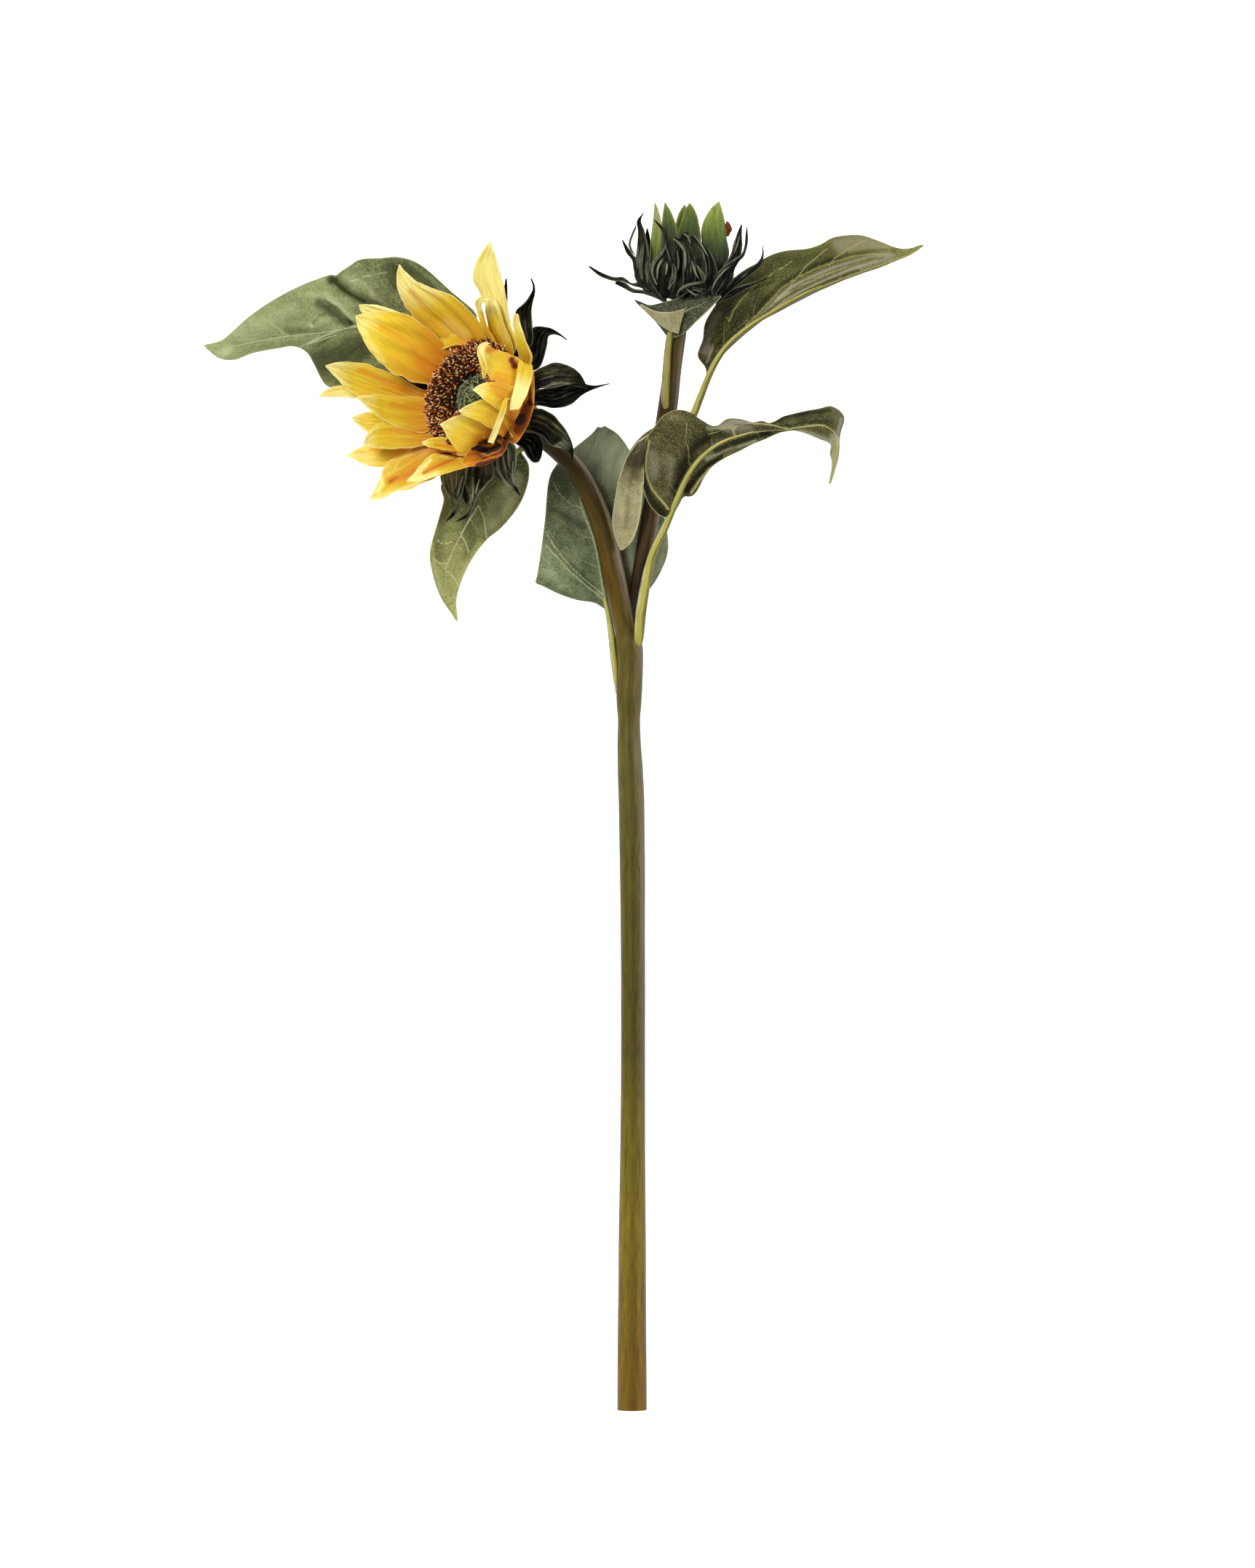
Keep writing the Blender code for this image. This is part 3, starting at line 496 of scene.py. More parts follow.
# The long leaf behind the flower: arched across its middle, with a deep valley above the arch.
make_leaf(
    "leaf_behind_head",
    [blade(
        [(-52, 262, 5), (-68, 266, 4.5), (-84, 268, 4.5), (-100, 267.5, 5), (-118, 263.5, 6.5),
         (-137, 260.5, 7), (-156, 258.5, 6.5), (-177, 254.8, 4), (-190, 251.5, 2), (-198.2, 254.3, 0.9)],
        [(-53, 260.5, 5), (-64, 252, 2), (-84, 243, 1.3), (-104, 235.5, 1), (-122, 231.8, 0.8),
         (-131, 232.5, 0.8), (-137.5, 244, 1.6), (-141.5, 250.5, 3), (-148, 253.6, 4), (-158, 252.2, 3.5),
         (-171, 250, 2), (-181, 246.8, 1), (-190, 247.6, 0.8), (-198.1, 253.9, 0.9)],
        [(-51, 263.5, 5), (-48, 272, 2.5), (-62, 284.5, 2), (-78, 298.5, 2.5), (-90, 303, 4),
         (-102, 302.3, 5.5), (-112, 301.6, 6), (-118, 298, 5), (-124.6, 293.2, 4), (-130, 293, 4.5),
         (-147, 286.2, 5), (-162, 278, 4), (-175, 268.5, 3), (-187, 258.5, 1.6), (-193, 256, 1),
         (-198.3, 254.9, 0.9)],
        bow=(2.5, 2.5), seed=11, along=210, across=40, spacing=16, pucker=0.7, ripple=0.5, rib=1,
        veins=[(0.55, [(-145, 253.5), (-130, 260), (-112, 266)]),
               (0.4, [(-116.4, 288.8), (-111.6, 291.2), (-105, 293), (-97, 293.8)]),
               (0.4, [(-125, 259.8), (-134, 257), (-142, 254.6)]),
               (0.4, [(-150, 259), (-160, 265), (-168, 271)])],
        creases=[(4, -2.4, [(-121, 284), (-114, 279.5), (-104, 275)]),
                 (5, 2.6, [(-138, 281), (-128, 277), (-120, 271), (-113, 266)]),
                 (4, 1.8, [(-122, 292), (-112, 287), (-100, 284)]),
                 (3, -1.6, [(-131, 270), (-124, 266), (-115, 262)]),
                 (2.5, -1.2, [(-150, 268), (-138, 265), (-128, 264)]),
                 (2.2, 1.2, [(-95, 292), (-85, 284), (-76, 275)]),
                 (4, 1.5, [(-170, 265), (-155, 270), (-145, 273)]),
                 (3, -1.3, [(-178, 251), (-165, 253), (-152, 256)]), (1.2, 0.8, [(-139, 266), (-135, 271)]),
                 (1.2, 0.8, [(-124, 267), (-128, 272)]),
                 (1.5, 0.8, [(-145, 264), (-130, 262.5), (-118, 264.5)])],
        shades=[(2.5, -0.7, [(-127.5, 290.5), (-122, 286), (-116, 281.5), (-107, 277), (-98, 273.5)]),
                (2.8, -0.75, [(-134, 277), (-127.5, 273.6), (-122.5, 269.2), (-118.5, 266.5)]),
                (0.7, -0.5, [(-125.5, 288.6), (-119, 283.6), (-113, 279.8), (-106, 276.8)]),
                (0.6, -0.6, [(-130.5, 278), (-124, 274.4), (-119.5, 269.6), (-116.5, 266.8)]),
                (0.5, 0.6, [(-130, 279), (-123.2, 275.6), (-118.6, 270.8), (-116, 268)]),
                (0.45, 0.7, [(-108.5, 277.8), (-102, 275.9), (-97, 274.2)]),
                (2.2, -0.3, [(-129.5, 291), (-125, 290)]),
                (8, -0.75, [(-133, 246), (-121, 250), (-109, 254)]),
                (7, -0.75, [(-86, 297), (-74, 288), (-62, 278)]), (4, -0.6, [(-96, 297), (-92, 287)]),
                (2.5, -0.4, [(-152, 262), (-136, 262)]),
                (2, 0.25, [(-142, 281.5), (-131, 281.5), (-121, 275.5), (-115, 270)]),
                (5, 0.2, [(-178, 262), (-162, 266), (-150, 272)]),
                (2.5, 0.2, [(-119, 291), (-112, 288), (-106, 282)]),
                (0.9, 0.9, [(-139.5, 265.7), (-138.5, 264.6)]), (2, 0.35, [(-134, 268), (-126, 268.5)]),
                (3, 0.5, [(-188, 250), (-184, 253)]), (1.5, 0.4, [(-106, 283), (-97, 275)]),
                (1.4, 0.4, [(-84, 300), (-72, 290), (-62, 281)])],
    )],
    [(-60, 264.5, 4.6), (-44, 256, 4), (-30, 240, 4.2), (-18, 222, 6.5), (-8, 203, 11)],
    [1.5, 1.7, 1.9, 2.1, 2.2],
    leaf_finishes(
        "behind_head", "#434928", "#697147", "#8e9566", "#aab075", "#bcc19a",
        tip_share=0.7, pale="#c4c89e", shadow="#292c12",
    ),
)

# The leaf that hangs from the neck under the flower, with a clear cream midrib.
make_leaf(
    "leaf_below_head",
    [blade(
        [(-24, 196, 10), (-31, 187, 9.5), (-39, 177, 8.5), (-47, 165.5, 7.5), (-55, 152, 6.5),
         (-61.5, 140, 5), (-65, 129, 3.5), (-64, 116, 2), (-58.9, 102.5, 0.9)],
        [(-23, 195, 10), (-19, 188, 9), (-19.5, 178, 8), (-24, 166.5, 6.5), (-33, 154.8, 5),
         (-42, 147.3, 4.5), (-49.5, 137.5, 4), (-55.5, 126, 3), (-59, 114, 1.5), (-58.2, 102.4, 0.9)],
        [(-25, 197, 10), (-40, 194, 8), (-56, 188, 6), (-67, 178, 4.5), (-66, 169, 4), (-69, 158, 4),
         (-73.5, 141, 3), (-72.2, 129, 2), (-68, 116, 1.3), (-61.5, 106, 1), (-59.6, 102.6, 0.9)],
        bow=(1.8, 1.5), seed=21, along=150, across=26, spacing=15, pucker=0.6, ripple=0.4, rib=0.8,
        rib_start=34,
        veins=[(0.6, [(-47, 165.5), (-52, 158), (-56.5, 149.5), (-61, 141), (-65, 131)]),
               (0.5, [(-56.5, 149.5), (-54, 146), (-52, 140)]),
               (0.5, [(-46.5, 165.5), (-43.5, 158), (-42.5, 148)]),
               (0.45, [(-61, 146), (-66, 144.5), (-70, 147)]), (0.45, [(-64, 134), (-68, 134), (-71.5, 137)]),
               (0.4, [(-62, 128), (-59, 124), (-57, 119)])],
        creases=[(4, -1.2, [(-50, 150), (-46, 156), (-38, 162)]),
                 (3, 1.2, [(-66, 150), (-62, 158), (-58, 168)]),
                 (3.5, -1.2, [(-60, 130), (-55, 136), (-50, 143)]),
                 (3, 1, [(-30, 170), (-34, 163), (-40, 156)])],
        shades=[(5, 0.35, [(-27, 180), (-31, 168), (-40, 158)]), (4, 0.3, [(-38, 168), (-34, 174)]),
                (3.5, -0.4, [(-66, 160), (-68, 146), (-69, 138)]),
                (3, -0.4, [(-54, 158), (-50, 148), (-52, 138)]),
                (2, 0.35, [(-46, 145), (-52, 135), (-57, 122)]),
                (1.2, 0.4, [(-72.5, 145), (-71, 132), (-67, 117)])],
    )],
    [(-50, 160.5, 6.4), (-40, 175.5, 7), (-30, 188.5, 8.2), (-23, 197, 10.2), (-14, 199.5, 11.5),
     (-5, 198.5, 13.5)],
    [0.4, 0.9, 1.4, 1.7, 1.9, 2],
    leaf_finishes(
        "below_head", "#26270f", "#424520", "#686b3d", "#b4b66e", "#c3c192",
        tip_share=0.85, pale="#b9b788", shadow="#1b1a09",
    ),
)

# The broad leaf behind the fork, nearly flat, with its stalk down the left side of the stem.
make_leaf(
    "leaf_behind_fork",
    [blade(
        [(25, 109, 2.8), (23, 115, 2), (21.5, 122, 1.5), (20, 131, 1.2), (18.3, 140, 1), (16, 149.5, 0.9),
         (12, 159.5, 0.9), (9, 170, 1), (10, 183, 1.3), (14, 195, 1.9), (20.8, 209, 3.5)],
        [(25.6, 108.5, 2.8), (34, 110, 1.2), (45, 117, 0.9), (54, 130, 0.9), (58, 145, 1.8), (53, 168, 1.5),
         (40, 191, 1.2), (31, 204.5, 2.4), (23, 210, 3.5)],
        [(23.5, 108.4, 2.8), (17, 112.4, 2.5), (8, 113.8, 3), (-2, 117, 4.5), (-11, 121.3, 6.5),
         (-15.2, 123.3, 7.5), (-14.4, 128, 7), (-12.4, 141, 5), (-10, 160, 3.5), (-8, 180, 3.5),
         (-2.5, 190, 3.5), (7, 198.5, 3), (15, 205, 3), (19, 209.5, 3.5)],
        bow=(0.1, 0), seed=31, along=150, across=40, spacing=16, pucker=0.5, ripple=0.3, rib=0.9,
        veins=[(0.5,
                [(24, 112), (19, 117), (13, 121.5), (8, 126), (4, 129), (1, 132), (-3, 137), (-6, 140),
                 (-10, 144.5)]),
               (0.4, [(22, 117), (12, 125), (5, 131.5), (0, 137), (-4, 142), (-8, 148), (-10, 152)]),
               (0.45, [(9.5, 165), (4, 167), (-1, 171), (-4, 175), (-5.5, 179)]),
               (0.45, [(20, 206), (17, 197), (13, 188), (10.5, 183)]),
               (0.35, [(21.5, 200), (22, 190), (22, 180), (19, 172)]),
               (0.35, [(29, 204), (31, 196), (32.5, 188)]), (0.35, [(41, 135.5), (37, 133), (33, 130.5)])],
        creases=[(5, 1.4, [(-4, 178), (-3, 160), (0, 148)]), (3, -1.2, [(-7, 166), (2, 161), (10, 156)]),
                 (5, 1.2, [(28, 195), (24, 182), (20, 172)]), (4, 1.2, [(0, 128), (-6, 132)]),
                 (2.5, -0.9, [(3, 133.5), (10, 127.5), (18, 119)]),
                 (4, 0.9, [(-6, 150), (4, 146), (12, 140)])],
        shades=[(2.5, -0.55, [(-6, 164), (2, 160), (11, 155)]),
                (1.6, -0.5, [(3, 134), (10, 128), (18, 119.5)]), (3.5, 0.3, [(-8, 128), (0, 122), (10, 117)]),
                (11, 0.65, [(8, 193), (18, 200), (32, 192)]), (7, 0.3, [(20, 184), (40, 176)]),
                (4, 0.55, [(39, 146), (36, 132), (32, 117)]), (4, 0.4, [(50, 150), (53, 138), (48, 126)]),
                (7, -0.3, [(-4, 122), (8, 119), (16, 115)])],
    )],
    [(22.8, 115, 2.1), (25.2, 104, 3.6), (26.8, 93, 5.6), (28.2, 80, 6.8), (30.2, 62, 7.2)],
    [1.3, 1.7, 2, 2, 1.4],
    leaf_finishes(
        "behind_fork", "#3a442c", "#5c6646", "#7e8866", "#848a62", "#b2b78c",
        tip_share=0.3, pale="#b4ba98", shadow="#262e1c",
    ),
)

# The leaf in front of the fork: a round dark lobe on a thick stalk, a lobe folded back, a long drooping end.
make_leaf(
    "leaf_front_fork",
    [
        blade(
            [(60, 161.5, 23.2), (61.5, 165.5, 24.2), (63.2, 170, 25.4), (65.5, 175.3, 26.6), (68.3, 181, 28),
             (71.5, 186, 29.2), (75.2, 190.3, 30.2), (79.5, 194.4, 31), (84.5, 197.8, 31.7),
             (90, 200.6, 32.2), (96, 202.8, 32.4), (102, 204.5, 32.3), (109, 205.8, 32), (116, 206.4, 31.6),
             (120, 206.6, 31.3), (124, 206.8, 31), (134, 208.3, 29.5), (143, 208.6, 27.2), (149.2, 204, 20),
             (149.3, 192, 9), (147, 178.2, 1)],
            [(61, 160.8, 23), (63, 164.5, 22), (66, 169.5, 20), (69, 170.6, 18.5), (71, 171, 18),
             (73, 172.8, 18.3), (75, 176, 19), (76.5, 179, 20), (78.3, 182.3, 21), (80.5, 185.2, 22),
             (84, 188, 23.5), (89, 191, 25), (93, 193, 26), (97, 195, 26.8), (101, 197.2, 27.5),
             (105, 199, 28.2), (111, 201.2, 29.3), (118, 204.2, 30.2), (126, 206, 30.5), (133, 204.3, 29),
             (140, 201.6, 26), (146.8, 199, 19), (146.8, 194, 13), (147.8, 189, 8.5), (146.4, 178, 1)],
            [(59, 162.4, 23.4), (56, 158.6, 24), (50.5, 161.5, 25.5), (46.5, 167, 27), (43.8, 175, 29),
             (43.2, 184, 31), (43.6, 194, 33), (45.5, 201, 34.5), (49.5, 207, 35.5), (54, 213, 36),
             (59, 216, 36.5), (64, 216.8, 36.5), (70, 215.2, 36), (76, 211, 35.3), (81, 209.2, 35),
             (85, 209.2, 35.2), (90, 212, 35.5), (97, 212, 35), (104, 210.6, 34), (109, 211, 33.5),
             (113.5, 210, 33), (121, 213.3, 32), (131, 216, 31), (140, 217.9, 29.5), (147.4, 219.4, 27),
             (154.2, 214.2, 20.5), (152.2, 205, 13), (151.6, 193, 6.5), (147.8, 178.4, 1)],
            bow=(-1, 3.5), seed=41, along=230, across=32, spacing=17, pucker=0.35, ripple=0.35, rib=1.3,
            veins=[(0.85,
                    [(47.5, 200), (45.8, 192), (45.5, 186), (46.4, 180), (48.9, 174), (52.2, 169.8),
                     (55.2, 166.5), (57.5, 163.4)]),
                   (0.8,
                    [(70, 172.5), (75, 179.4), (80, 184.9), (88, 189.9), (95, 193.6), (104, 197.8),
                     (112, 200.9), (120, 204.3)]),
                   (0.45,
                    [(80, 203.5), (85, 203.8), (90, 207), (96, 208), (103, 209.3), (113, 208.8), (123, 207)]),
                   (0.3, [(70, 190), (67, 200), (68, 210)]), (0.45, [(92, 207.5), (93.4, 205), (94, 202)]),
                   (1.9, [(149.8, 202), (149.4, 195), (148.6, 187), (147.2, 179)])],
            creases=[(6, 3.2, [(52, 184), (54, 196), (61, 209)]),
                     (3.5, -3, [(63, 173), (68, 185), (76, 196), (86, 202.5)]),
                     (1.6, -1.6, [(67, 172.5), (71, 178.5), (77, 185), (85, 190.5), (94, 195.5)]),
                     (2.2, -1.6, [(81, 207), (90, 208.5), (103, 208)]),
                     (3, 1.5, [(122, 211), (135, 213), (147, 214)]),
                     (2, -1.4, [(122, 208.5), (132, 209.8), (143, 210)]),
                     (1.5, -1.5, [(44.5, 198), (44, 186), (46, 174), (54, 163)])],
            shades=[(2, -0.95, [(44, 199), (43.4, 186), (44.4, 176), (48, 167.5), (55, 160.5)]),
                    (4.5, -0.8, [(63, 175), (66, 185), (70, 194), (78, 201)]),
                    (1.5, -0.9, [(84, 194.6), (92, 198.6), (101, 201.6), (113, 204.6)]),
                    (1.1, 0.8, [(79, 190.6), (88, 194.6), (97, 197.6), (105, 200.4)]),
                    (1.6, 0.75, [(80, 206.5), (87, 208), (94, 210.6), (104, 210)]),
                    (1.4, 0.6, [(130, 205.6), (139, 203.2), (146.5, 200.5)]),
                    (2.4, 1, [(149.6, 203), (149.3, 195), (148.5, 186), (147, 179)]),
                    (0.9, 0.7, [(152.4, 213), (151, 206)]), (3.5, 0.4, [(48.5, 193), (50, 182)]),
                    (3, 0.3, [(59, 190), (60, 179)]),
                    (1.3, -0.9, [(68, 172.5), (73, 179.5), (79, 186.4), (87, 191.2)]),
                    (1.2, -0.8, [(114, 210), (122, 212.5), (134, 215), (146, 217)]),
                    (1, 0.25, [(124, 210), (136, 212), (148, 213.5)]), (3, -0.3, [(130, 212), (146, 212)]),
                    (2.4, 0.45, [(88, 205.6), (96, 207), (103, 207.4)]),
                    (0.6, 0.8, [(94.6, 207.6), (93.2, 205.4), (94.4, 202)])],
        ),
        face_down(blade(
            [(52, 207, 33.6), (45.5, 200.5, 33.2), (40, 190, 31.2), (37.5, 175, 28), (36, 160, 25),
             (34, 148, 22), (32, 140.8, 20)],
            [(56, 204, 33.4), (49, 197, 34), (45, 188, 32), (44.2, 176, 29), (42.5, 160, 24.6),
             (38.5, 146.5, 22), (32.8, 140.9, 20)],
            [(51, 208.5, 34), (43, 202.5, 32), (36, 193.5, 30), (31, 181, 28), (28.6, 168, 26),
             (27.2, 157, 23.5), (28.6, 148, 21.5), (31.4, 140.8, 20)],
            bow=(1.4, 1.4), seed=43, along=90, across=14, spacing=30, pucker=0.4, ripple=0.35, rib=0.1,
            veins=[(0.45, [(47, 203.5), (40.5, 198.5), (35, 190.5), (31.2, 180)]),
                   (0.4, [(43.4, 178), (42.6, 165), (40.4, 153), (36, 144)])],
            creases=[(2.5, 1.4, [(43, 197), (36, 186), (33, 170), (32, 155)]),
                     (2, -1.2, [(46, 194), (41.5, 180), (39, 162)])],
            shades=[(9, -0.85, [(53, 209), (46, 200), (41, 193)]), (6, -0.45, [(40, 190), (37, 182)]),
                    (2.2, -0.35, [(36, 168), (34.5, 154)]),
                    (1.2, 0.5, [(29, 172), (27.8, 158), (29.2, 148)])],
        )),
    ],
    [(104, 205, 32.8), (90, 200.8, 32.6), (79.5, 194.6, 31.2), (70, 184, 28.8), (62.3, 168, 25),
     (56, 153.3, 20.8), (49.8, 140.5, 18.8), (45.9, 126, 17.4), (42.9, 108, 15.9), (41.7, 94, 14),
     (40.9, 88.6, 9.6)],
    [0.5, 0.9, 1.1, 1.3, 1.7, 2.1, 2.3, 2.8, 3, 2.8, 2.2],
    leaf_finishes(
        "front_fork", "#211e0a", "#423e22", "#676140", "#555d38", "#a8a468",
        tip_share=0.6, pale="#94917a", shadow="#141207",
    ),
)

# The leaf beside the bud: folded down along its midrib, its lower edge from above, and paler in a strip
# beside it.
make_leaf(
    "leaf_beside_bud",
    [blade(
        [(79.5, 236, 20), (84, 245, 21), (92, 255, 22), (103, 264, 22.5), (116, 272, 22.5), (130, 280, 21.5),
         (145, 287, 19), (160, 293, 15.5), (176, 299, 9.5), (190, 304.6, 4), (198.5, 309.7, 0.9)],
        [(78.9, 236.8, 20), (78, 241.5, 19), (74, 248, 17.5), (77, 257, 16), (78.3, 266, 15), (84, 276, 14),
         (92, 287, 14), (103, 296, 14.5), (112, 302, 15), (122, 305.4, 16), (133, 306.5, 17),
         (141, 308.8, 17.5), (149, 313, 17), (162, 314.4, 14), (172, 312, 10), (183, 308.3, 6),
         (190, 307.8, 3.5), (198.1, 310.3, 0.9)],
        [(80.4, 235.4, 19.6), (85, 244, 18), (93, 254, 16.5), (104, 263, 15), (117, 271.2, 14),
         (131, 279.2, 12.5), (146, 286.3, 10), (161, 292.4, 7.5), (177, 298.4, 4.5), (190.5, 304, 2),
         (198.6, 309.3, 0.9)],
        bow=(2, 0.3), seed=51, along=210, across=34, spacing=19, pucker=0.5, ripple=0.4, rib=0.9,
        veins=[(0.45, [(90, 268.5), (91.5, 266), (94, 271.5), (99, 278.5), (105, 285), (110, 289)]),
               (0.4, [(112, 291), (118, 293.5), (126, 299)]),
               (0.45, [(124, 285), (127.5, 289), (133, 296), (140, 302), (145, 306)]),
               (0.45, [(146, 297), (149, 301), (156, 306), (166, 311.5)]),
               (0.45,
                [(100, 264), (105, 268.5), (110, 274), (116, 280), (120, 284.5), (127, 289.5), (133, 292.5),
                 (140, 296), (150, 299.5), (160, 302.5), (170, 304), (180, 304)]),
               (0.35, [(112, 272.5), (119, 279), (128, 285), (140, 290.6), (156, 296.6)]),
               (0.3, [(116, 277.5), (124, 284.5), (134, 290), (148, 295.6)])],
        creases=[(2.5, -1.6, [(108, 270), (120, 281), (130, 287.5), (145, 293), (165, 299)]),
                 (4, 1.5, [(86, 260), (95, 274), (108, 286)]), (4, 1.5, [(118, 297), (132, 300), (146, 304)]),
                 (3, -1.2, [(84, 250), (92, 264), (104, 276)]),
                 (3, -1, [(136, 304), (142, 300), (150, 298)])],
        shades=[(2.8, 0.45,
                 [(108, 268.5), (116, 275.5), (123, 281), (131, 286.4), (142, 291.3), (156, 296.8),
                  (168, 300.5), (180, 303.5)]),
                (0.8, 0.6,
                 [(110, 268.5), (119, 275.5), (129, 282), (142, 288.6), (158, 295.4), (172, 300.6)]),
                (0.8, 0.6, [(118, 279), (126, 286), (136, 290.6), (150, 296.6), (166, 301.6)]),
                (0.7, -0.55,
                 [(106, 266.6), (113, 272.5), (121, 278.6), (131, 284.6), (145, 291), (160, 297),
                  (176, 302.4)]),
                (0.7, -0.45, [(124, 283), (132, 288), (145, 293.4), (160, 299), (172, 302)]),
                (0.9, -0.6, [(106, 264.5), (117, 272.8), (131, 281.4), (146, 288.6), (162, 294.8)]),
                (1.3, -0.6,
                 [(104, 270), (110, 276.5), (119, 286.2), (130, 293), (142, 298.4), (156, 303), (170, 305.6),
                  (182, 306)]),
                (4, -0.5, [(86, 254), (96, 268), (108, 280)]),
                (4, -0.35, [(120, 300), (134, 300), (146, 303)]),
                (2.6, 0.28, [(79, 250), (80, 260), (85, 269)]),
                (0.8, 0.4, [(84, 250), (92, 260), (101, 267)]), (0.8, 0.4, [(79, 244), (83, 254), (92, 264)]),
                (5, 0.35, [(153, 308), (164, 310), (176, 307)])],
    )],
    [(150, 289.2, 17.8), (134, 282.2, 21), (118, 273.3, 22.6), (102, 263.3, 22.8), (91, 254, 22),
     (84, 244.5, 21), (79, 234, 20), (75, 224, 19), (70.8, 214, 18.3), (62.5, 203.5, 17.6),
     (54, 195.5, 16.4)],
    [0.4, 0.8, 1, 1.3, 1.5, 1.7, 1.8, 2, 2.1, 2.2, 2.3],
    leaf_finishes(
        "beside_bud", "#171708", "#2f2f11", "#4e4d26", "#85854a", "#9a975c",
        tip_share=0.85, pale="#a09684", shadow="#0c0b05",
    ),
)

# The small leaf that clasps the branch under the bud, with one flap folded forward.
make_leaf(
    "leaf_under_bud",
    [
        blade(
            [(58, 257, 29.5), (59.5, 262, 32.5), (62.5, 267.5, 36), (69, 271.5, 38), (77, 274.8, 38),
             (86.3, 279.4, 34.6)],
            [(59.2, 256.6, 29.7), (63, 257.3, 33.5), (67.5, 259.6, 37), (73, 265, 39.5), (80, 271.5, 40),
             (86.8, 278.8, 34.6)],
            [(57, 257.6, 29.5), (50, 266.5, 30), (39.4, 277.2, 31), (47, 274.5, 33), (56, 276, 34.5),
             (66, 278.6, 36), (76, 280, 36.5), (86, 280.3, 34.6)],
            bow=(0.5, 1), seed=61, along=70, across=18, spacing=12, pucker=0.3, ripple=0.3, rib=0.6,
            creases=[(2, -0.9, [(48, 272), (60, 272), (72, 275)])],
        ),
        face_down(blade(
            [(42.5, 274.8, 32.3), (50.5, 269, 36.9), (58.5, 265.5, 39.6), (64.6, 264.2, 40.5)],
            [(42, 274.5, 32), (49, 267.2, 34), (56, 261.5, 36), (63.2, 258.4, 38)],
            [(43, 275, 32.5), (51, 270.8, 38), (60, 270.2, 41.5), (66.8, 271.9, 43)],
            bow=(0.2, 0.2), seed=63, along=50, across=10, spacing=30, pucker=0.2, ripple=0.2, rib=0.1,
        )),
    ],
    [(59.6, 262, 32.6), (58.3, 256.5, 30.2), (57.4, 248, 28.6), (56.6, 236, 27), (56.2, 224, 24.6),
     (57.4, 214, 20.5)],
    [1.3, 1.9, 2.1, 2.3, 2.4, 1.2],
    leaf_finishes(
        "under_bud", "#22261a", "#3a3f2e", "#5a5e48", "#6c7050", "#a2a37c",
        tip_share=0.3, stalk=aged_petiole_finish,
    ),
)


# ------------------------------------------------------------------ flower receptacle
# The cup behind the petals is moulded with the neck's end and flocked dark green. Petals and bracts are
# threaded on to its collar as punched cloth rings, one behind the other, so it shows only between them and
# from behind.

HEAD_CENTRE = Vector((-44.6, 222.4, 45.0))
HEAD_AXIS = Vector((-0.636, 0.304, 0.709)).normalized()


def turned_frame(centre, axis, high_side):
    """The turn and place of a flower: its local Z is the axis, and its X points to the high side."""
    across = (high_side - axis * high_side.dot(axis)).normalized()
    turn = Matrix((across, axis.cross(across), axis)).transposed()
    return np.array(turn), np.array(centre)


head = turned_frame(HEAD_CENTRE, HEAD_AXIS, Vector((0, 0, 1)))


def placed(points, place):
    turn, centre = place
    return points @ turn.T + centre


def turned_solid(profile, place, steps, wobble, seed):
    """A solid turned about a flower's axis from its closed profile of (radius, height)."""
    outline = smooth(profile, 8 * (len(profile) - 1))
    points = []
    for i, (radius, height) in enumerate(outline):
        for k in range(steps):
            angle = 2 * math.pi * k / steps
            reach = max(radius, 0.01) * (1 + wobble * unevenness(angle * 2, i / 5, seed) * min(1, radius / 5))
            points.append((reach * math.cos(angle), reach * math.sin(angle), height))
    *sides, first, last = skin(len(outline) - 1, steps)
    faces = [*((a, d, c, b) for a, b, c, d in sides), first[::-1], last[::-1]]
    return placed(np.array(points), place), faces, {}


def flocked(name, dark, light, roughness):
    """Cotton flock on wet glue, or bare foam: dry and dark, since light is lost between fibres or in pores.

    These are about 0.5 mm apart, too fine to show, so they are drawn 1.4 mm across.
    """
    material, tree = new_material(name)
    where = add(tree, "TexCoord", {})
    flock = add(tree, "TexNoise", {"Scale": 700, "Detail": 3, "Roughness": 0.7, "Vector": where})
    colour = add(tree, "ValToRGB", {"stops": [(0.35, dark), (0.7, light)], "Fac": flock})
    relief = add(tree, "Bump", {"Strength": 0.6, "Distance": 0.0006, "Height": flock})
    look = {"Roughness": roughness, "Sheen Weight": 0.06, "Specular IOR Level": 0.1}
    surface = add(tree, "BsdfPrincipled", {**look, "Base Color": colour, "Normal": relief})
    add(tree, "OutputMaterial", {"Surface": surface})
    return material


flock_finish = flocked("dark_green_flock", "#14170d", "#2c3320", roughness=0.9)
RECEPTACLE_PROFILE = [(0.01, 1.2), (20, 1.2), (22.3, 0.2), (22.5, -4), (22.3, -8.4), (20.5, -9.4),
                      (20.3, -14), (14, -17.5), (8.5, -19.5), (6.6, -22), (0.01, -22)]
receptacle = turned_solid(RECEPTACLE_PROFILE, head, steps=72, wobble=0.01, seed=71)
make_piece("flower_receptacle", [(*receptacle, 0)], [flock_finish])


# ------------------------------------------------------------------ disc florets
# A ring of hundreds of short nylon bristles stuck into a brown foam collar. They are dyed from near black
# at the foot to rust and orange at the tip, and lean every way, which makes the ring's rough crown.

FLORET_COUNT = 1300
FLORET_INNER, FLORET_OUTER = 13.2, 30.6
GOLDEN_ANGLE = 2.399963
COLLAR_PROFILE = [(12.9, 1.5), (12.9, 6), (14.5, 9.2), (20, 12.2), (25.5, 12.4), (29.5, 10.6), (30.6, 8.6),
                  (28.5, 5.4), (22.5, 1.6), (12.9, 1.5)]
# The radii at which the collar's top is measured, and its heights there.
COLLAR_TOP = ([12.9, 14.5, 20.0, 25.5, 29.5, 31.0], [7.5, 9.2, 12.2, 12.4, 10.6, 8.2])
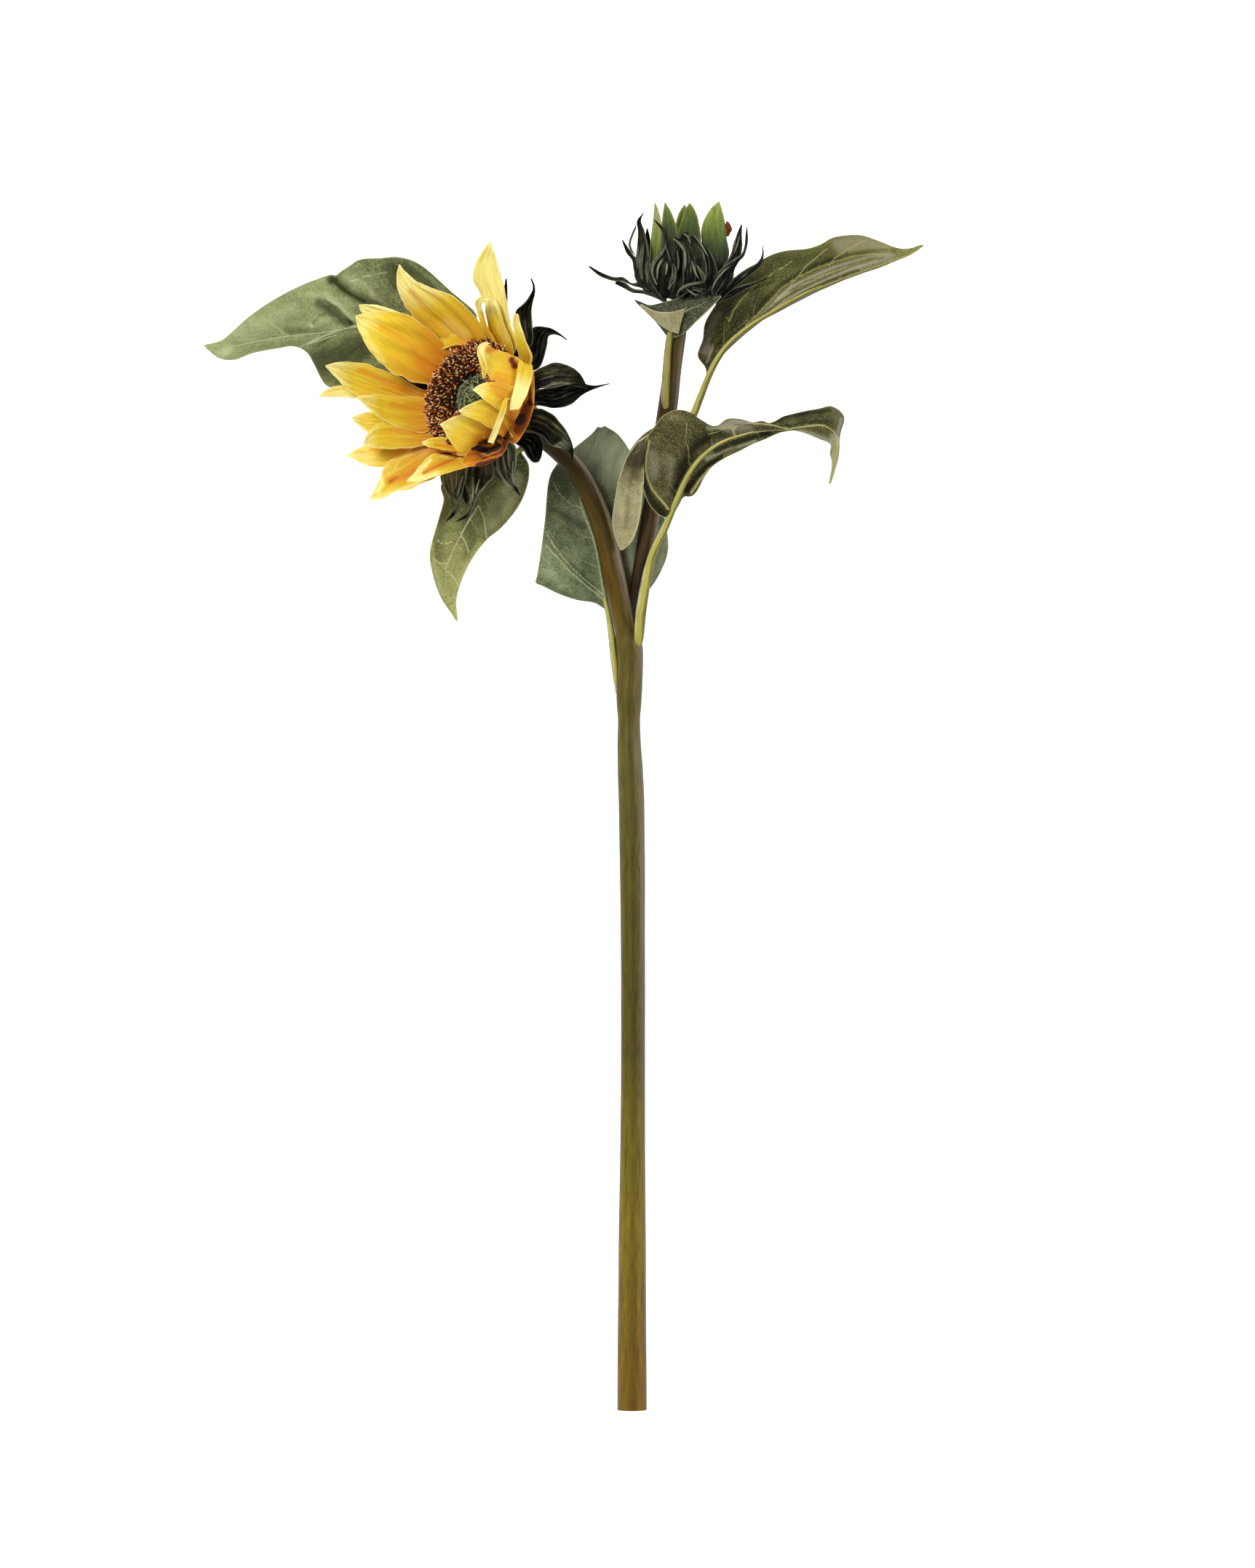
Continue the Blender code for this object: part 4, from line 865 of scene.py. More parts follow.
# Shares of a bristle's length, and how thick it is there.
BRISTLE_SHAPE = ((0, 0.7), (0.45, 1.0), (0.8, 1.1), (1.0, 0.35))
BRISTLE_SIDES = 4


def bristles(seed):
    """The florets' bristles, spread evenly over the collar and leaning out from its middle."""
    draw = np.random.default_rng(seed)
    points, faces, tone, foot = [], [], [], []
    for k in range(FLORET_COUNT):
        area = FLORET_INNER**2 + (FLORET_OUTER**2 - FLORET_INNER**2) * (k + 0.5) / FLORET_COUNT
        radius = math.sqrt(area) + draw.normal(0, 0.25)
        angle = k * GOLDEN_ANGLE + draw.normal(0, 0.03)
        outward = np.array([math.cos(angle), math.sin(angle), 0])
        base = outward * radius + (0, 0, np.interp(radius, *COLLAR_TOP) - 0.6)
        aim = np.array([0, 0, 1.1]) + outward * (radius - 20) / 11 + draw.normal(0, 0.38, 3)
        aim /= np.linalg.norm(aim)
        across = np.cross(aim, draw.normal(0, 1, 3))
        across /= np.linalg.norm(across)
        other = np.cross(aim, across)
        length = draw.uniform(1.9, 3.3)
        thick = draw.uniform(0.34, 0.56)
        faces += skin(len(BRISTLE_SHAPE) - 1, BRISTLE_SIDES, len(points))
        for share, width in BRISTLE_SHAPE:
            for corner in range(BRISTLE_SIDES):
                turn = 2 * math.pi * corner / BRISTLE_SIDES
                reach = (across * math.cos(turn) + other * math.sin(turn)) * thick * width
                points.append(base + aim * length * share + reach)
                foot.append(share)
        tone += [draw.uniform(0, 1)] * (len(BRISTLE_SHAPE) * BRISTLE_SIDES)
    return placed(np.array(points), head), faces, {"tone": np.array(tone), "run": np.array(foot)}


# Dyed nylon bristle: nearly black at the foot, rust to orange at the tip, each its own shade, with a dull
# shine.
bristle_finish, tree = new_material("dyed_nylon_bristle")
tone, run = (add(tree, "Attribute", {"attribute_name": note}) for note in ("tone", "run"))
bristle_stops = [(0, "#3e180e"), (0.2, "#9a451c"), (0.5, "#d07a34"), (0.75, "#eeb062"), (1, "#fae0b0")]
tip = add(tree, "ValToRGB", {"stops": bristle_stops, "Fac": tone})
colour = inked(tree, "#200e08", [(run, 0.35, 0.85, 1, tip)])
look = {"Roughness": 0.5, "IOR": 1.53, "Specular IOR Level": 0.3, "Base Color": colour}
add(tree, "OutputMaterial", {"Surface": add(tree, "BsdfPrincipled", look)})

collar_finish = flocked("brown_foam_collar", "#1a0c07", "#33180d", roughness=0.95)
collar = turned_solid(COLLAR_PROFILE, head, steps=72, wobble=0.01, seed=73)
florets = [(*collar, 0), (*bristles(seed=74), 1)]
make_piece("disc_florets", florets, [collar_finish, bristle_finish], sharp=60)


# ------------------------------------------------------------------ disc centre
# A low tuft of dark green fibres in the middle of the ring, combed flat in swirls, with a few pale yellow
# threads lying across it. Underneath is a flocked foam button.

FIBRE_SIDES = 4
# How steeply the fibres rise from the button.
FIBRE_RISE = 0.35
CENTRE_PROFILE = [(0.01, 9.4), (5, 9), (9.5, 7.4), (12.2, 4.5), (12.4, 1.5), (0.01, 1.5)]
# The radii at which the button's top is measured, and its heights there.
BUTTON_TOP = ([0, 5, 9.5, 12.5], [9.2, 8.8, 7.2, 5])


def strand(path, thick):
    """A thin fibre along a short path, as its points."""
    points = []
    for i, centre in enumerate(path):
        ahead = path[min(i + 1, len(path) - 1)] - path[max(i - 1, 0)]
        ahead = ahead / np.linalg.norm(ahead)
        across = np.cross(ahead, (0.3, 0.2, 0.93))
        across /= np.linalg.norm(across)
        other = np.cross(ahead, across)
        width = thick * (1 - 0.6 * i / (len(path) - 1))
        for corner in range(FIBRE_SIDES):
            turn = 2 * math.pi * corner / FIBRE_SIDES
            points.append(centre + (across * math.cos(turn) + other * math.sin(turn)) * width)
    return points


def tuft(count, reach, lengths, thick, seed):
    """Fibres scattered over the button out to reach, each lying its own way round the middle and drooping."""
    draw = np.random.default_rng(seed)
    points, faces, tone = [], [], []
    for k in range(count):
        radius = reach * math.sqrt(draw.uniform(0, 1))
        angle = draw.uniform(0, 2 * math.pi)
        base = np.array([radius * math.cos(angle), radius * math.sin(angle), np.interp(radius, *BUTTON_TOP)])
        swirl = angle + 1.9 + draw.normal(0, 0.7)
        heading = np.array([math.cos(swirl), math.sin(swirl), FIBRE_RISE + draw.normal(0, 0.15)])
        curl = np.array([-math.sin(swirl), math.cos(swirl), 0]) * draw.normal(0, 0.35)
        length = draw.uniform(*lengths)
        droop = np.array([0, 0, 0.35 * length])
        steps = (0, 0.33, 0.66, 1)
        path = [base + heading * length * s + curl * length * s * s - droop * s * s for s in steps]
        faces += skin(len(path) - 1, FIBRE_SIDES, len(points))
        points += strand(path, thick * draw.uniform(0.7, 1.2))
        tone += [draw.uniform(0, 1)] * (len(path) * FIBRE_SIDES)
    return placed(np.array(points), head), faces, {"tone": np.array(tone)}


def fibre_finish(name, stops):
    """Dyed viscose fibre, each its own shade, dull and slightly silky."""
    material, tree = new_material(name)
    tone = add(tree, "Attribute", {"attribute_name": "tone"})
    colour = add(tree, "ValToRGB", {"stops": stops, "Fac": tone})
    look = {"Roughness": 0.7, "Specular IOR Level": 0.2, "Base Color": colour}
    add(tree, "OutputMaterial", {"Surface": add(tree, "BsdfPrincipled", look)})
    return material


green_stops = [(0, "#2a2e18"), (0.35, "#5c6344"), (0.75, "#949a74"), (1, "#bcbc92")]
green_finish = fibre_finish("dark_green_fibre", green_stops)
yellow_finish = fibre_finish("pale_yellow_thread", [(0, "#8b8a3c"), (1, "#b7b05a")])
shapes = [
    (*turned_solid(CENTRE_PROFILE, head, steps=48, wobble=0.02, seed=75), 0),
    (*tuft(700, reach=11.8, lengths=(2.2, 4.2), thick=0.26, seed=76), 1),
    (*tuft(14, reach=8.5, lengths=(5, 8), thick=0.28, seed=77), 2),
]
finishes = [flock_finish, green_finish, yellow_finish]
make_piece("disc_centre", shapes, finishes, sharp=60)


# ------------------------------------------------------------------ ray petals
# Each whorl is punched from dyed polyester taffeta and hot-pressed over a grooved die, then the petals are
# curled by hand. They are orange at the root and lemon at the tip, with soft lengthwise folds and a rolled
# or waved margin.

PETAL_THICKNESS = 0.4
# The height over the table at which a margin's given x and y are its own.
DRAWN_HEIGHT = 15


def over_flower(stations):
    """Rows of (x, y, h, x, y, h), with h up from the flower's base plane, as rows of points above the table.

    x and y are where each point appears over the table when looked straight down on.
    """
    rows = np.array(stations, float)
    for side in (0, 3):
        x, y, height = rows[:, side : side + 3].T
        lean = HEAD_AXIS.x * (x - HEAD_CENTRE.x) + HEAD_AXIS.y * (y - HEAD_CENTRE.y)
        rows[:, side + 2] = HEAD_CENTRE.z + (height - lean) / HEAD_AXIS.z
    return below_camera(rows)


def below_camera(stations):
    """Draws each point in toward the camera's line by its height, so that it appears over its x and y."""
    drawn = np.array(stations, float)
    for side in (0, 3):
        near = (VIEW_HEIGHT - drawn[:, side + 2]) / (VIEW_HEIGHT - DRAWN_HEIGHT)
        for axis in (0, 1):
            drawn[:, side + axis] = VIEW_CENTRE[axis] + (drawn[:, side + axis] - VIEW_CENTRE[axis]) * near
    return drawn


def panel(stations, seed, cup, folds, ruffle=0.4, ridges=3, along=44, across=10, thickness=PETAL_THICKNESS,
          shades=(), rim=1.0, pale=0):
    """A pressed cloth petal or bract between two margins, as rows of (x, y, z, x, y, z) from root to tip.

    cup is how far its middle hangs below its margins, folds are its lengthwise ridges, and ruffle waves its
    margins. shades are strokes, as (width, amount, points as they appear over the table), lighter above
    zero and darker below: on the petals and bracts they are painted highlights and painted shade in hollows
    and between parts, and on the dried scrap its own darker colour. pale is how much the whole is lightened.
    rim narrows the paler margin where it is above one.
    """
    rails = smooth(stations, along)
    # v runs across the cloth, from -1 at its first margin to 1 at its second.
    v = np.linspace(-1, 1, 2 * across + 1)[None, :, None]
    middle = (rails[:, None, :3] * (1 - v) + rails[:, None, 3:] * (1 + v)) / 2
    span = rails[:, None, 3:] - rails[:, None, :3]
    normal = upper_normals(np.cross(np.gradient(middle, axis=0), span + 0 * middle))
    far = distance_along((rails[:, :3] + rails[:, 3:]) / 2)[:, None]
    width = np.linalg.norm(span[:, 0], axis=1)[:, None] / 2
    v = v[..., 0]
    room = np.clip(width / 5, 0, 1) * np.clip((far[-1] - far) / 5, 0, 1)
    wander = 0.5 * unevenness(far / 14, 0 * v, seed)
    crest = np.cos(math.pi * (v * ridges + wander)) * (1 - 0.6 * v**4)
    sharp = np.sign(crest) * np.abs(crest) ** 0.75
    fine = unevenness(far / 30, v * width * 1.6, seed + 4) * 0.22
    broad = unevenness(far / 15, v * width / 8, seed + 1)
    wave = unevenness(far / 5, np.sign(v) * 4 + 0 * far, seed + 2) * np.abs(v) ** 3
    hollow = cup * (1 - v**2) * np.clip(width / 6, 0, 1)
    rise = (folds * (sharp + 0.7 * broad + fine) + ruffle * wave) * room - hollow
    nick = 1 + 0.05 * unevenness(far / 2.2, np.sign(v) * 2 + 0 * far, seed + 3) * np.abs(v) ** 4
    nicked = (v * nick)[..., None]
    middle = rails[:, None, :3] * (1 - nicked) / 2 + rails[:, None, 3:] * (1 + nicked) / 2
    middle = middle + normal * rise[..., None]
    near = (VIEW_HEIGHT - DRAWN_HEIGHT) / (VIEW_HEIGHT - middle[..., 2])
    seen = [VIEW_CENTRE[axis] + (middle[..., axis] - VIEW_CENTRE[axis]) * near for axis in (0, 1)]
    flat = np.ones_like(v * far)
    tint = 0 * flat
    # Strokes of painted light and shade, except on the dried scrap, where they are its own darker colour.
    for stroke, amount, points in shades:
        away = line_distance(*seen, points) * (1 + 0.2 * unevenness(*seen, seed + 5))
        tint = tint + amount * np.exp(-((away / stroke) ** 3))
    notes = {
        "run": far / far[-1] * flat,
        "side": v * width * flat,
        "edge": (1 - np.abs(v)) * width * rim,
        "tone": flat * np.random.default_rng(seed).uniform(0, 1),
        "tint": tint,
        "pale": flat * pale,
    }
    return shell(middle + normal * thickness / 2, middle - normal * thickness / 2, notes)


def petal_taffeta(name, root, body, tip, point, deep, hollow, lining):
    """Dyed polyester taffeta: shaded by dipping from root to tip, with fine pressed lines and a silky sheen.

    Strokes of painted light and shade are laid over the dipping: painted highlights in the point's colour,
    and painted shade through the root's and deep colours down to the hollow's near black; on the dried scrap
    they give its own dark rust. lining is how strongly the pressed lines, about 1 mm apart, show in the
    root's colour.
    """
    material, tree = new_material(name)
    notes = ("run", "side", "tone", "pale", "edge", "tint")
    run, side, tone, pale, edge, tint = (add(tree, "Attribute", {"attribute_name": note}) for note in notes)
    # The dye spread by up to 13 mm.
    clouds = add(tree, "TexNoise", {"Scale": 75, "Detail": 3, "Vector": add(tree, "TexCoord", {})})
    spread = add(tree, "Math", {"operation": "MULTIPLY_ADD", 0: clouds, 1: 0.34, 2: -0.17})
    shaded = add(tree, "Math", {"operation": "ADD", 0: run, 1: spread})
    paler = add(tree, "Math", {"operation": "ADD", 0: shaded, 1: pale})
    dip_stops = [(0.02, deep), (0.2, root), (0.44, body), (0.78, tip), (1.0, point)]
    dipped = add(tree, "ValToRGB", {"stops": dip_stops, "Fac": paler})
    length = add(tree, "Math", {"operation": "MULTIPLY", 0: run, 1: 3.0})
    lay = add(tree, "CombineXYZ", {"X": side, "Y": length, "Z": tone})
    lines = add(tree, "TexNoise", {"Scale": 1.0, "Detail": 3, "Roughness": 0.6, "Vector": lay})
    layers = [
        (lines, 0.48, 0.7, lining, root),
        (edge, 1.2, 0.2, 0.32, point),
        # Painted highlights above zero; painted shade below, going to near black in hollows.
        (tint, 0, 0.8, 0.95, point),
        (tint, 0, -0.4, 0.95, root),
        (tint, -0.35, -0.75, 0.95, deep),
        (tint, -0.7, -1.1, 0.95, hollow),
    ]
    colour = inked(tree, dipped, layers)
    relief = add(tree, "Bump", {"Strength": 0.9, "Distance": 0.001, "Height": lines})
    look = {"Roughness": 0.5, "IOR": 1.45, "Specular IOR Level": 0.25, "Base Color": colour, "Normal": relief}
    glow = {"Subsurface Weight": 0.4, "Subsurface Radius": (1.0, 0.75, 0.3), "Subsurface Scale": MM}
    add(tree, "OutputMaterial", {"Surface": add(tree, "BsdfPrincipled", {**look, **glow})})
    return material


# The fifth is the deepest dye at the root and also painted shade; the sixth is near black, for painted shade
# in hollows and between petals, and the dried scrap's darkest rust.
golden_dyes = ("#cf8318", "#cfa11c", "#dac130", "#efe494", "#6a2a0a", "#170603")
petal_finish = petal_taffeta("golden_taffeta", *golden_dyes, lining=0.42)

# Each row of a petal: one margin's x, y and height over the flower's base plane, then the other margin's.
PETAL_SHAPES = {
    1: [(-28, 219, 2, -32, 211, 2), (-22, 222, 4, -27, 210, 4), (-24, 228, 14, -30, 214.5, 14),
        (-30, 232, 24, -36, 218.5, 24), (-38, 233.5, 33, -42, 222.5, 33), (-45, 232.5, 40, -46.5, 226.5, 40),
        (-49.7, 229.6, 45, -49.6, 229, 45)],
    2: [(-27, 228, 2, -28, 236, 2), (-20, 227, 4, -19, 241, 4), (-24, 229, 14, -24, 246, 12),
        (-32, 232, 23, -31, 249.5, 21), (-40, 236, 31, -37, 251.5, 29), (-44.5, 243, 38, -42, 254, 36),
        (-46.8, 251.5, 42, -45.6, 254.3, 42)],
    3: [(-35, 243, 0, -31, 242, 0), (-42, 257, 10, -35.5, 253, 10), (-45.2, 265, 19, -41, 262, 19),
        (-47.6, 272.5, 26, -44, 270.5, 26), (-48.6, 277.5, 31, -45.2, 275.2, 31),
        (-45.5, 280.3, 34, -43.8, 277.6, 34), (-41, 279.8, 36, -41, 278.5, 36)],
    4: [(-52, 240, 0, -43, 243, 0), (-64, 254, 12, -42, 257, 12), (-76, 263.5, 23, -49, 270, 24),
        (-85.5, 271.5, 35, -60, 280, 36), (-90.5, 282, 47, -76, 286.5, 47), (-92, 291, 54, -84.5, 291, 54),
        (-90.2, 298, 59, -90, 298.2, 59)],
    5: [(-55, 238, 1, -59, 231, 0), (-63, 252, 13, -74, 232, 11), (-74, 263, 26, -87, 235.2, 23),
        (-86, 270.5, 38, -98, 241.6, 34), (-98, 272.6, 46, -106, 250.5, 44), (-108, 271.8, 52, -112, 261, 52),
        (-114, 270, 57, -114, 269.6, 57)],
    6: [(-62, 224, 0, -62, 215, 0), (-76, 225.5, 6, -75, 206, 6), (-87, 225.5, 14, -86, 207.5, 13),
        (-97, 226.3, 22, -96, 211, 20), (-104.5, 226.8, 29, -103, 215.5, 27),
        (-110, 226.2, 34, -109, 221, 33), (-113.6, 225.2, 37, -113.4, 224.7, 37)],
    7: [(-62, 212, 0, -60, 207, 0), (-74, 210, 5, -71, 200.5, 5), (-84, 211, 11, -82, 197.5, 11),
        (-94, 212.5, 17, -92, 196.5, 17), (-102, 211, 23, -100.5, 196.5, 23),
        (-107.6, 205.5, 27, -106.5, 198, 27), (-109.6, 200, 29, -109.4, 199.2, 29)],
    8: [(-50, 199, 2, -46, 198, 2), (-56, 200.5, 8, -54, 194, 8), (-62, 202.5, 12, -60, 194, 12),
        (-68, 203.3, 15, -66, 195, 15), (-73, 202.8, 17, -72, 196.7, 17),
        (-77.5, 200.5, 18, -77.3, 199.5, 18)],
    9: [(-37, 207, 2, -41, 203, 2), (-33, 206, 4, -42.5, 200.6, 4), (-36, 212, 14, -49.4, 198, 12),
        (-44, 216, 24, -56.5, 195.2, 22), (-52, 216.5, 33, -61.8, 200.3, 31),
        (-60, 214.3, 40, -65.3, 206.5, 39), (-67.7, 210.4, 45, -67.6, 210, 45)],
    10: [(-29, 226, 12, -26, 223, 12), (-32.3, 224, 24.5, -30, 224.3, 23.5),
         (-34.8, 217.5, 24, -31.5, 217.8, 22.5), (-37.2, 211, 20.5, -33.8, 211, 19),
         (-39.6, 205, 16.5, -36.2, 204.6, 15), (-41.4, 200.4, 14.5, -38.4, 199.6, 13)],
    11: [(-33, 243, -3, -29, 241, -3), (-37, 254, 5, -28, 251, 5), (-40, 262, 12, -31, 261, 12),
         (-42.3, 270, 18, -34, 270, 18), (-42.5, 276, 22, -37, 277, 22), (-41, 281, 25, -39.8, 281, 25)],
    12: [(-38, 243, -3, -34, 242, -3), (-38, 254, 2, -26, 252, 2), (-40.5, 268, 11, -29.5, 266, 11),
         (-46, 281.5, 20, -31, 279, 20), (-49.5, 290, 28, -34, 290, 28), (-48.5, 299.5, 35, -37, 299.5, 35),
         (-44, 306.5, 40, -38.6, 306, 40), (-40.5, 310.4, 42, -39.8, 310.4, 42)],
    13: [(-54, 238, -3, -60, 233, -3), (-66, 254, 5, -70, 246, 5), (-78, 265, 12, -82, 257, 12),
         (-90, 272, 22, -95, 263, 22), (-101, 275.5, 30, -106, 268, 30), (-108, 276.2, 35, -111, 272, 35),
         (-112.2, 276, 38, -112.2, 275.7, 38)],
    14: [(-60, 228, -3, -62, 222, -3), (-77, 229.6, 3, -78, 220, 3), (-88, 235.6, 11, -92, 221, 11),
         (-101, 241, 20, -105, 223, 20), (-113, 244.5, 29, -116, 227.5, 28),
         (-123.5, 244.5, 37, -124, 235, 36), (-130.7, 242.6, 42, -130.6, 242, 42)],
    15: [(-60, 208, -3, -59, 204, -3), (-74, 205, -1, -72, 194, -1), (-86, 203, 4, -85, 189, 4),
         (-97, 202, 9, -96, 187, 9), (-106, 200.5, 13, -105.5, 187.5, 13),
         (-113, 197.3, 16, -112.5, 189.7, 16), (-118.6, 193.4, 18, -118.6, 192.9, 18)],
    16: [(-60, 204, -3, -55, 202, -3), (-75, 200, 3, -60, 188, 0), (-86, 196.5, 8, -70, 181, 4),
         (-94, 191, 11, -80, 177.2, 8), (-99.5, 184, 13, -89, 173.3, 11),
         (-102.8, 176, 14.5, -97.5, 170, 13.5), (-106.6, 168.9, 16, -106.2, 168.5, 16)],
    17: [(-55, 200, -1, -48, 199, -1), (-60, 196.5, 6, -50, 190, 5), (-67, 194, 11, -56, 186, 9),
         (-74, 191, 15, -64, 183, 13), (-80, 186.5, 18, -72, 180.5, 16), (-84, 182, 20, -80, 178.8, 19),
         (-85.8, 179, 21, -85.4, 178.7, 21)],
    18: [(-31, 213, 2, -36, 206, 2), (-26, 213, 4, -33, 203, 4), (-29, 219, 14, -37, 206, 13),
         (-36, 222.5, 24, -43, 210, 23), (-44, 223.5, 33, -49, 213, 32), (-51, 221.5, 40, -54.5, 215.3, 39),
         (-57.4, 217.8, 45, -57.3, 217.3, 45)],
    19: [(-29, 236, 4, -25, 232, 4), (-24, 246, 14, -17.6, 242.5, 14.5), (-25.3, 240, 17, -17, 237, 16),
         (-26.2, 234, 19, -18.5, 231, 16.5), (-27.6, 228, 21, -20.5, 225.5, 16.5),
         (-28.9, 222, 20, -23, 220.5, 16), (-29.3, 218, 18.5, -24.5, 218.5, 16)],
    20: [(-30, 236, -3, -26, 233, -3), (-24, 244, 2, -17.7, 244, 1), (-25, 252, 9, -18.6, 250, 8),
         (-26.7, 260, 16, -21, 258, 15), (-28, 267, 22, -23.5, 265, 21), (-27, 271, 26, -24.6, 270.3, 26)],
    21: [(-61, 222, -5, -62, 217, -5), (-78, 227, -1, -79, 219, -1), (-92, 229, 6, -93, 221, 6),
         (-106, 231, 14, -107, 223, 14), (-118, 232, 22, -119, 225.3, 22), (-128, 230.5, 29, -128, 225.3, 29),
         (-134.3, 226.2, 33, -134.4, 225.4, 33)],
    22: [(-34, 204, 0, -30, 200, 0), (-37, 203, 1, -33, 194, 3), (-43, 201, 2, -40, 188.5, 6),
         (-48, 199.4, 5, -47, 186.6, 9), (-52, 196.2, 11, -53, 187, 11), (-55, 191, 14, -55.5, 188.5, 14)],
    23: [(-60, 216, -7, -61, 211, -7), (-76, 217, -4, -76, 206, -4), (-88, 217.5, 2, -88, 204, 2),
         (-99, 217.5, 8, -99, 204, 8), (-108, 217.3, 13, -107.5, 206.5, 13),
         (-113, 215.5, 16.5, -112.6, 210, 16.5), (-116.2, 213.7, 18.5, -116.2, 213.2, 18.5)],
}
# Folded lobes and rolled margins of the same punching, which lie beside the petal they belong to.
PETAL_LOBES = {
    2: [(-44.3, 235.5, 33, -43, 235.5, 34), (-44.6, 240, 35, -42, 240, 36),
        (-46.3, 245, 38, -42.8, 245.5, 39), (-47.4, 250, 41, -43.5, 250.5, 42),
        (-46.3, 253.6, 43, -42.5, 253.5, 43.5), (-43, 255.6, 44, -40, 254.8, 44)],
    5: [(-44, 252, 8, -40, 256, 8), (-52, 253.5, 12, -50, 259, 12), (-60, 253.5, 15, -60, 259.5, 15),
        (-68, 251, 16, -69, 257.5, 17), (-75, 250.5, 18, -77, 256, 19), (-81, 254.5, 21, -81.3, 255.5, 21)],
    22: [(-36, 208, -1, -33, 204, -1), (-30, 207, 3, -26.5, 199.5, 1), (-25.5, 213.5, 6, -20.5, 208, 4),
         (-22.5, 220, 9, -16.8, 217.5, 7), (-21, 227, 12, -15.8, 226, 10), (-19.5, 234, 14, -15.8, 233.5, 12),
         (-18, 240, 15, -16.2, 240, 14)],
}
PETAL_CUP = {1: 0.1, 2: 0.3, 3: 1.5, 9: 0.2, 10: 0.8, 17: 1.6, 18: 0.1, 19: 1, 20: 1.5}
PETAL_PALE = {
    2: 0, 3: 0.25, 4: 0.2, 6: 0.04, 9: 0.04, 10: 0.36, 11: 0.16, 12: 0.55, 13: 0.25, 14: 0.04, 15: 0.06,
    16: -0.03, 17: 0.12, 19: 0.26, 20: 0.14, 21: 0.25, 22: -0.6,
}
PETAL_RUFFLE = {7: 0.8, 8: 1.1, 15: 1.2, 16: 1.6, 17: 2, 22: 1.2, 11: 0.8, 20: 0.8}
LOBE_PALE = {2: 0.45, 5: 0, 22: -0.6}
# The folds of those that stand up, over the disc or at the top, which are pressed smoother than the rest.
SMOOTH_PETALS = {1: 0.14, 2: 0.2, 9: 0.2, 18: 0.14, 10: 0.2, 19: 0.3}
# Painted light and shade, as (width, amount, points): painted shade in hollows, folds and between petals
# below zero, painted highlights on creases and margins above it.
PETAL_SHADES = {
    1: [(4.5, -0.3, [(-36, 231), (-33, 226)]), (2.6, -0.55, [(-29.5, 216.5), (-28, 211)])],
    2: [(5, -0.3, [(-36, 234), (-32, 231)]), (1.9, -0.95, [(-28.4, 245.6), (-26.6, 241.8)]),
        (2.2, -0.45, [(-41, 251.5), (-37, 252)])],
    3: [(1.2, -0.3, [(-44, 272), (-41, 262), (-37, 252)])],
    4: [(1.1, -0.2, [(-74, 268), (-64, 260), (-56, 255.5)]), (4.5, 0.16, [(-63, 264.5), (-55, 259)]),
        (1.1, -0.2, [(-84, 284), (-76, 274), (-68, 268)])],
    5: [(1.4, -0.2, [(-100, 263), (-90, 258), (-80, 250)]), (3, -0.35, [(-79, 245), (-72, 238)]),
        (2.4, -0.4, [(-70, 250.5), (-62, 252)]), (1.6, 0.35, [(-112, 268), (-107, 256), (-99, 245)])],
    6: [(1.4, -0.3, [(-95, 221), (-84, 219), (-76, 218)])],
    7: [(1.3, -0.25, [(-95, 207), (-84, 206), (-76, 207)])],
    8: [(1.4, -0.3, [(-70, 199), (-60, 198), (-52, 196.5)]),
        (0.9, -0.8, [(-73, 196.6), (-67, 195), (-59, 194.4)])],
    9: [(3.5, -0.4, [(-46, 201.5), (-39, 204.5)]), (1.4, -0.6, [(-46, 199.6), (-42.5, 201)])],
    11: [(2.5, 0.22, [(-34, 266), (-31, 257)])],
    12: [(1.1, -0.2, [(-40, 276), (-36, 262)]), (5, 0.4, [(-43, 303), (-43.5, 295)]),
         (3, 0.22, [(-33, 268), (-30, 258)])],
    14: [(1.4, -0.3, [(-112, 240), (-98, 234), (-84, 228)])],
    15: [(4, 0.1, [(-105, 191), (-93, 191.4), (-82, 193)]),
         (0.8, -0.25, [(-106, 196), (-96, 195), (-88, 196)])],
    16: [(1.5, 0.8, [(-100.6, 182.5), (-99.6, 177), (-102, 172.6)]),
         (1.2, 0.5, [(-104, 169.8), (-96, 171.8), (-86, 175.4), (-77, 179)]),
         (2, -0.4, [(-94.5, 178.6), (-86, 182.4), (-77, 187.6)]),
         (0.8, -0.18, [(-97, 177), (-90, 183), (-80, 190)]), (3.4, 0.2, [(-96, 186), (-86, 191), (-77, 195)]),
         (0.5, -0.35, [(-94, 187.5), (-84, 192.4), (-76, 196)]),
         (0.5, -0.3, [(-96.5, 184.5), (-87, 189), (-79, 193.4)])],
    17: [(0.8, 0.9, [(-84, 179.6), (-81, 183.2), (-76.4, 186.2), (-73, 190.6)]),
         (1.6, -0.45, [(-76, 183.4), (-67, 188), (-59, 191)]), (2, 0.5, [(-75, 180.6), (-69, 183)]),
         (1.2, -0.9, [(-67, 194.6), (-61, 194.2), (-56, 193.8)]),
         (0.7, 0.6, [(-67, 193), (-60, 191.4), (-55, 192.4)])],
    18: [(3, -0.5, [(-34, 210), (-31, 205)])],
    22: [(1.9, -1.5, [(-48.6, 197.4), (-45, 196.3), (-41.5, 195.6), (-37.5, 196.8), (-35.4, 198.4)]),
         (1.8, -0.7, [(-43, 200.6), (-37, 201.6)]),
         (1.8, -0.95, [(-34.5, 191), (-41, 189.4), (-47, 187.8)])],
}
# The same painted shade and painted highlights on the folded lobes.
LOBE_SHADES = {
    22: [(2.6, -1.15, [(-27.5, 214.5), (-23.5, 213)]), (5, -0.8, [(-24.5, 207), (-21.5, 213), (-19.8, 219)]),
         (1, 0.9, [(-32, 212), (-27.5, 203.5)]), (1.3, -0.75, [(-18.6, 236), (-18, 222)])],
}

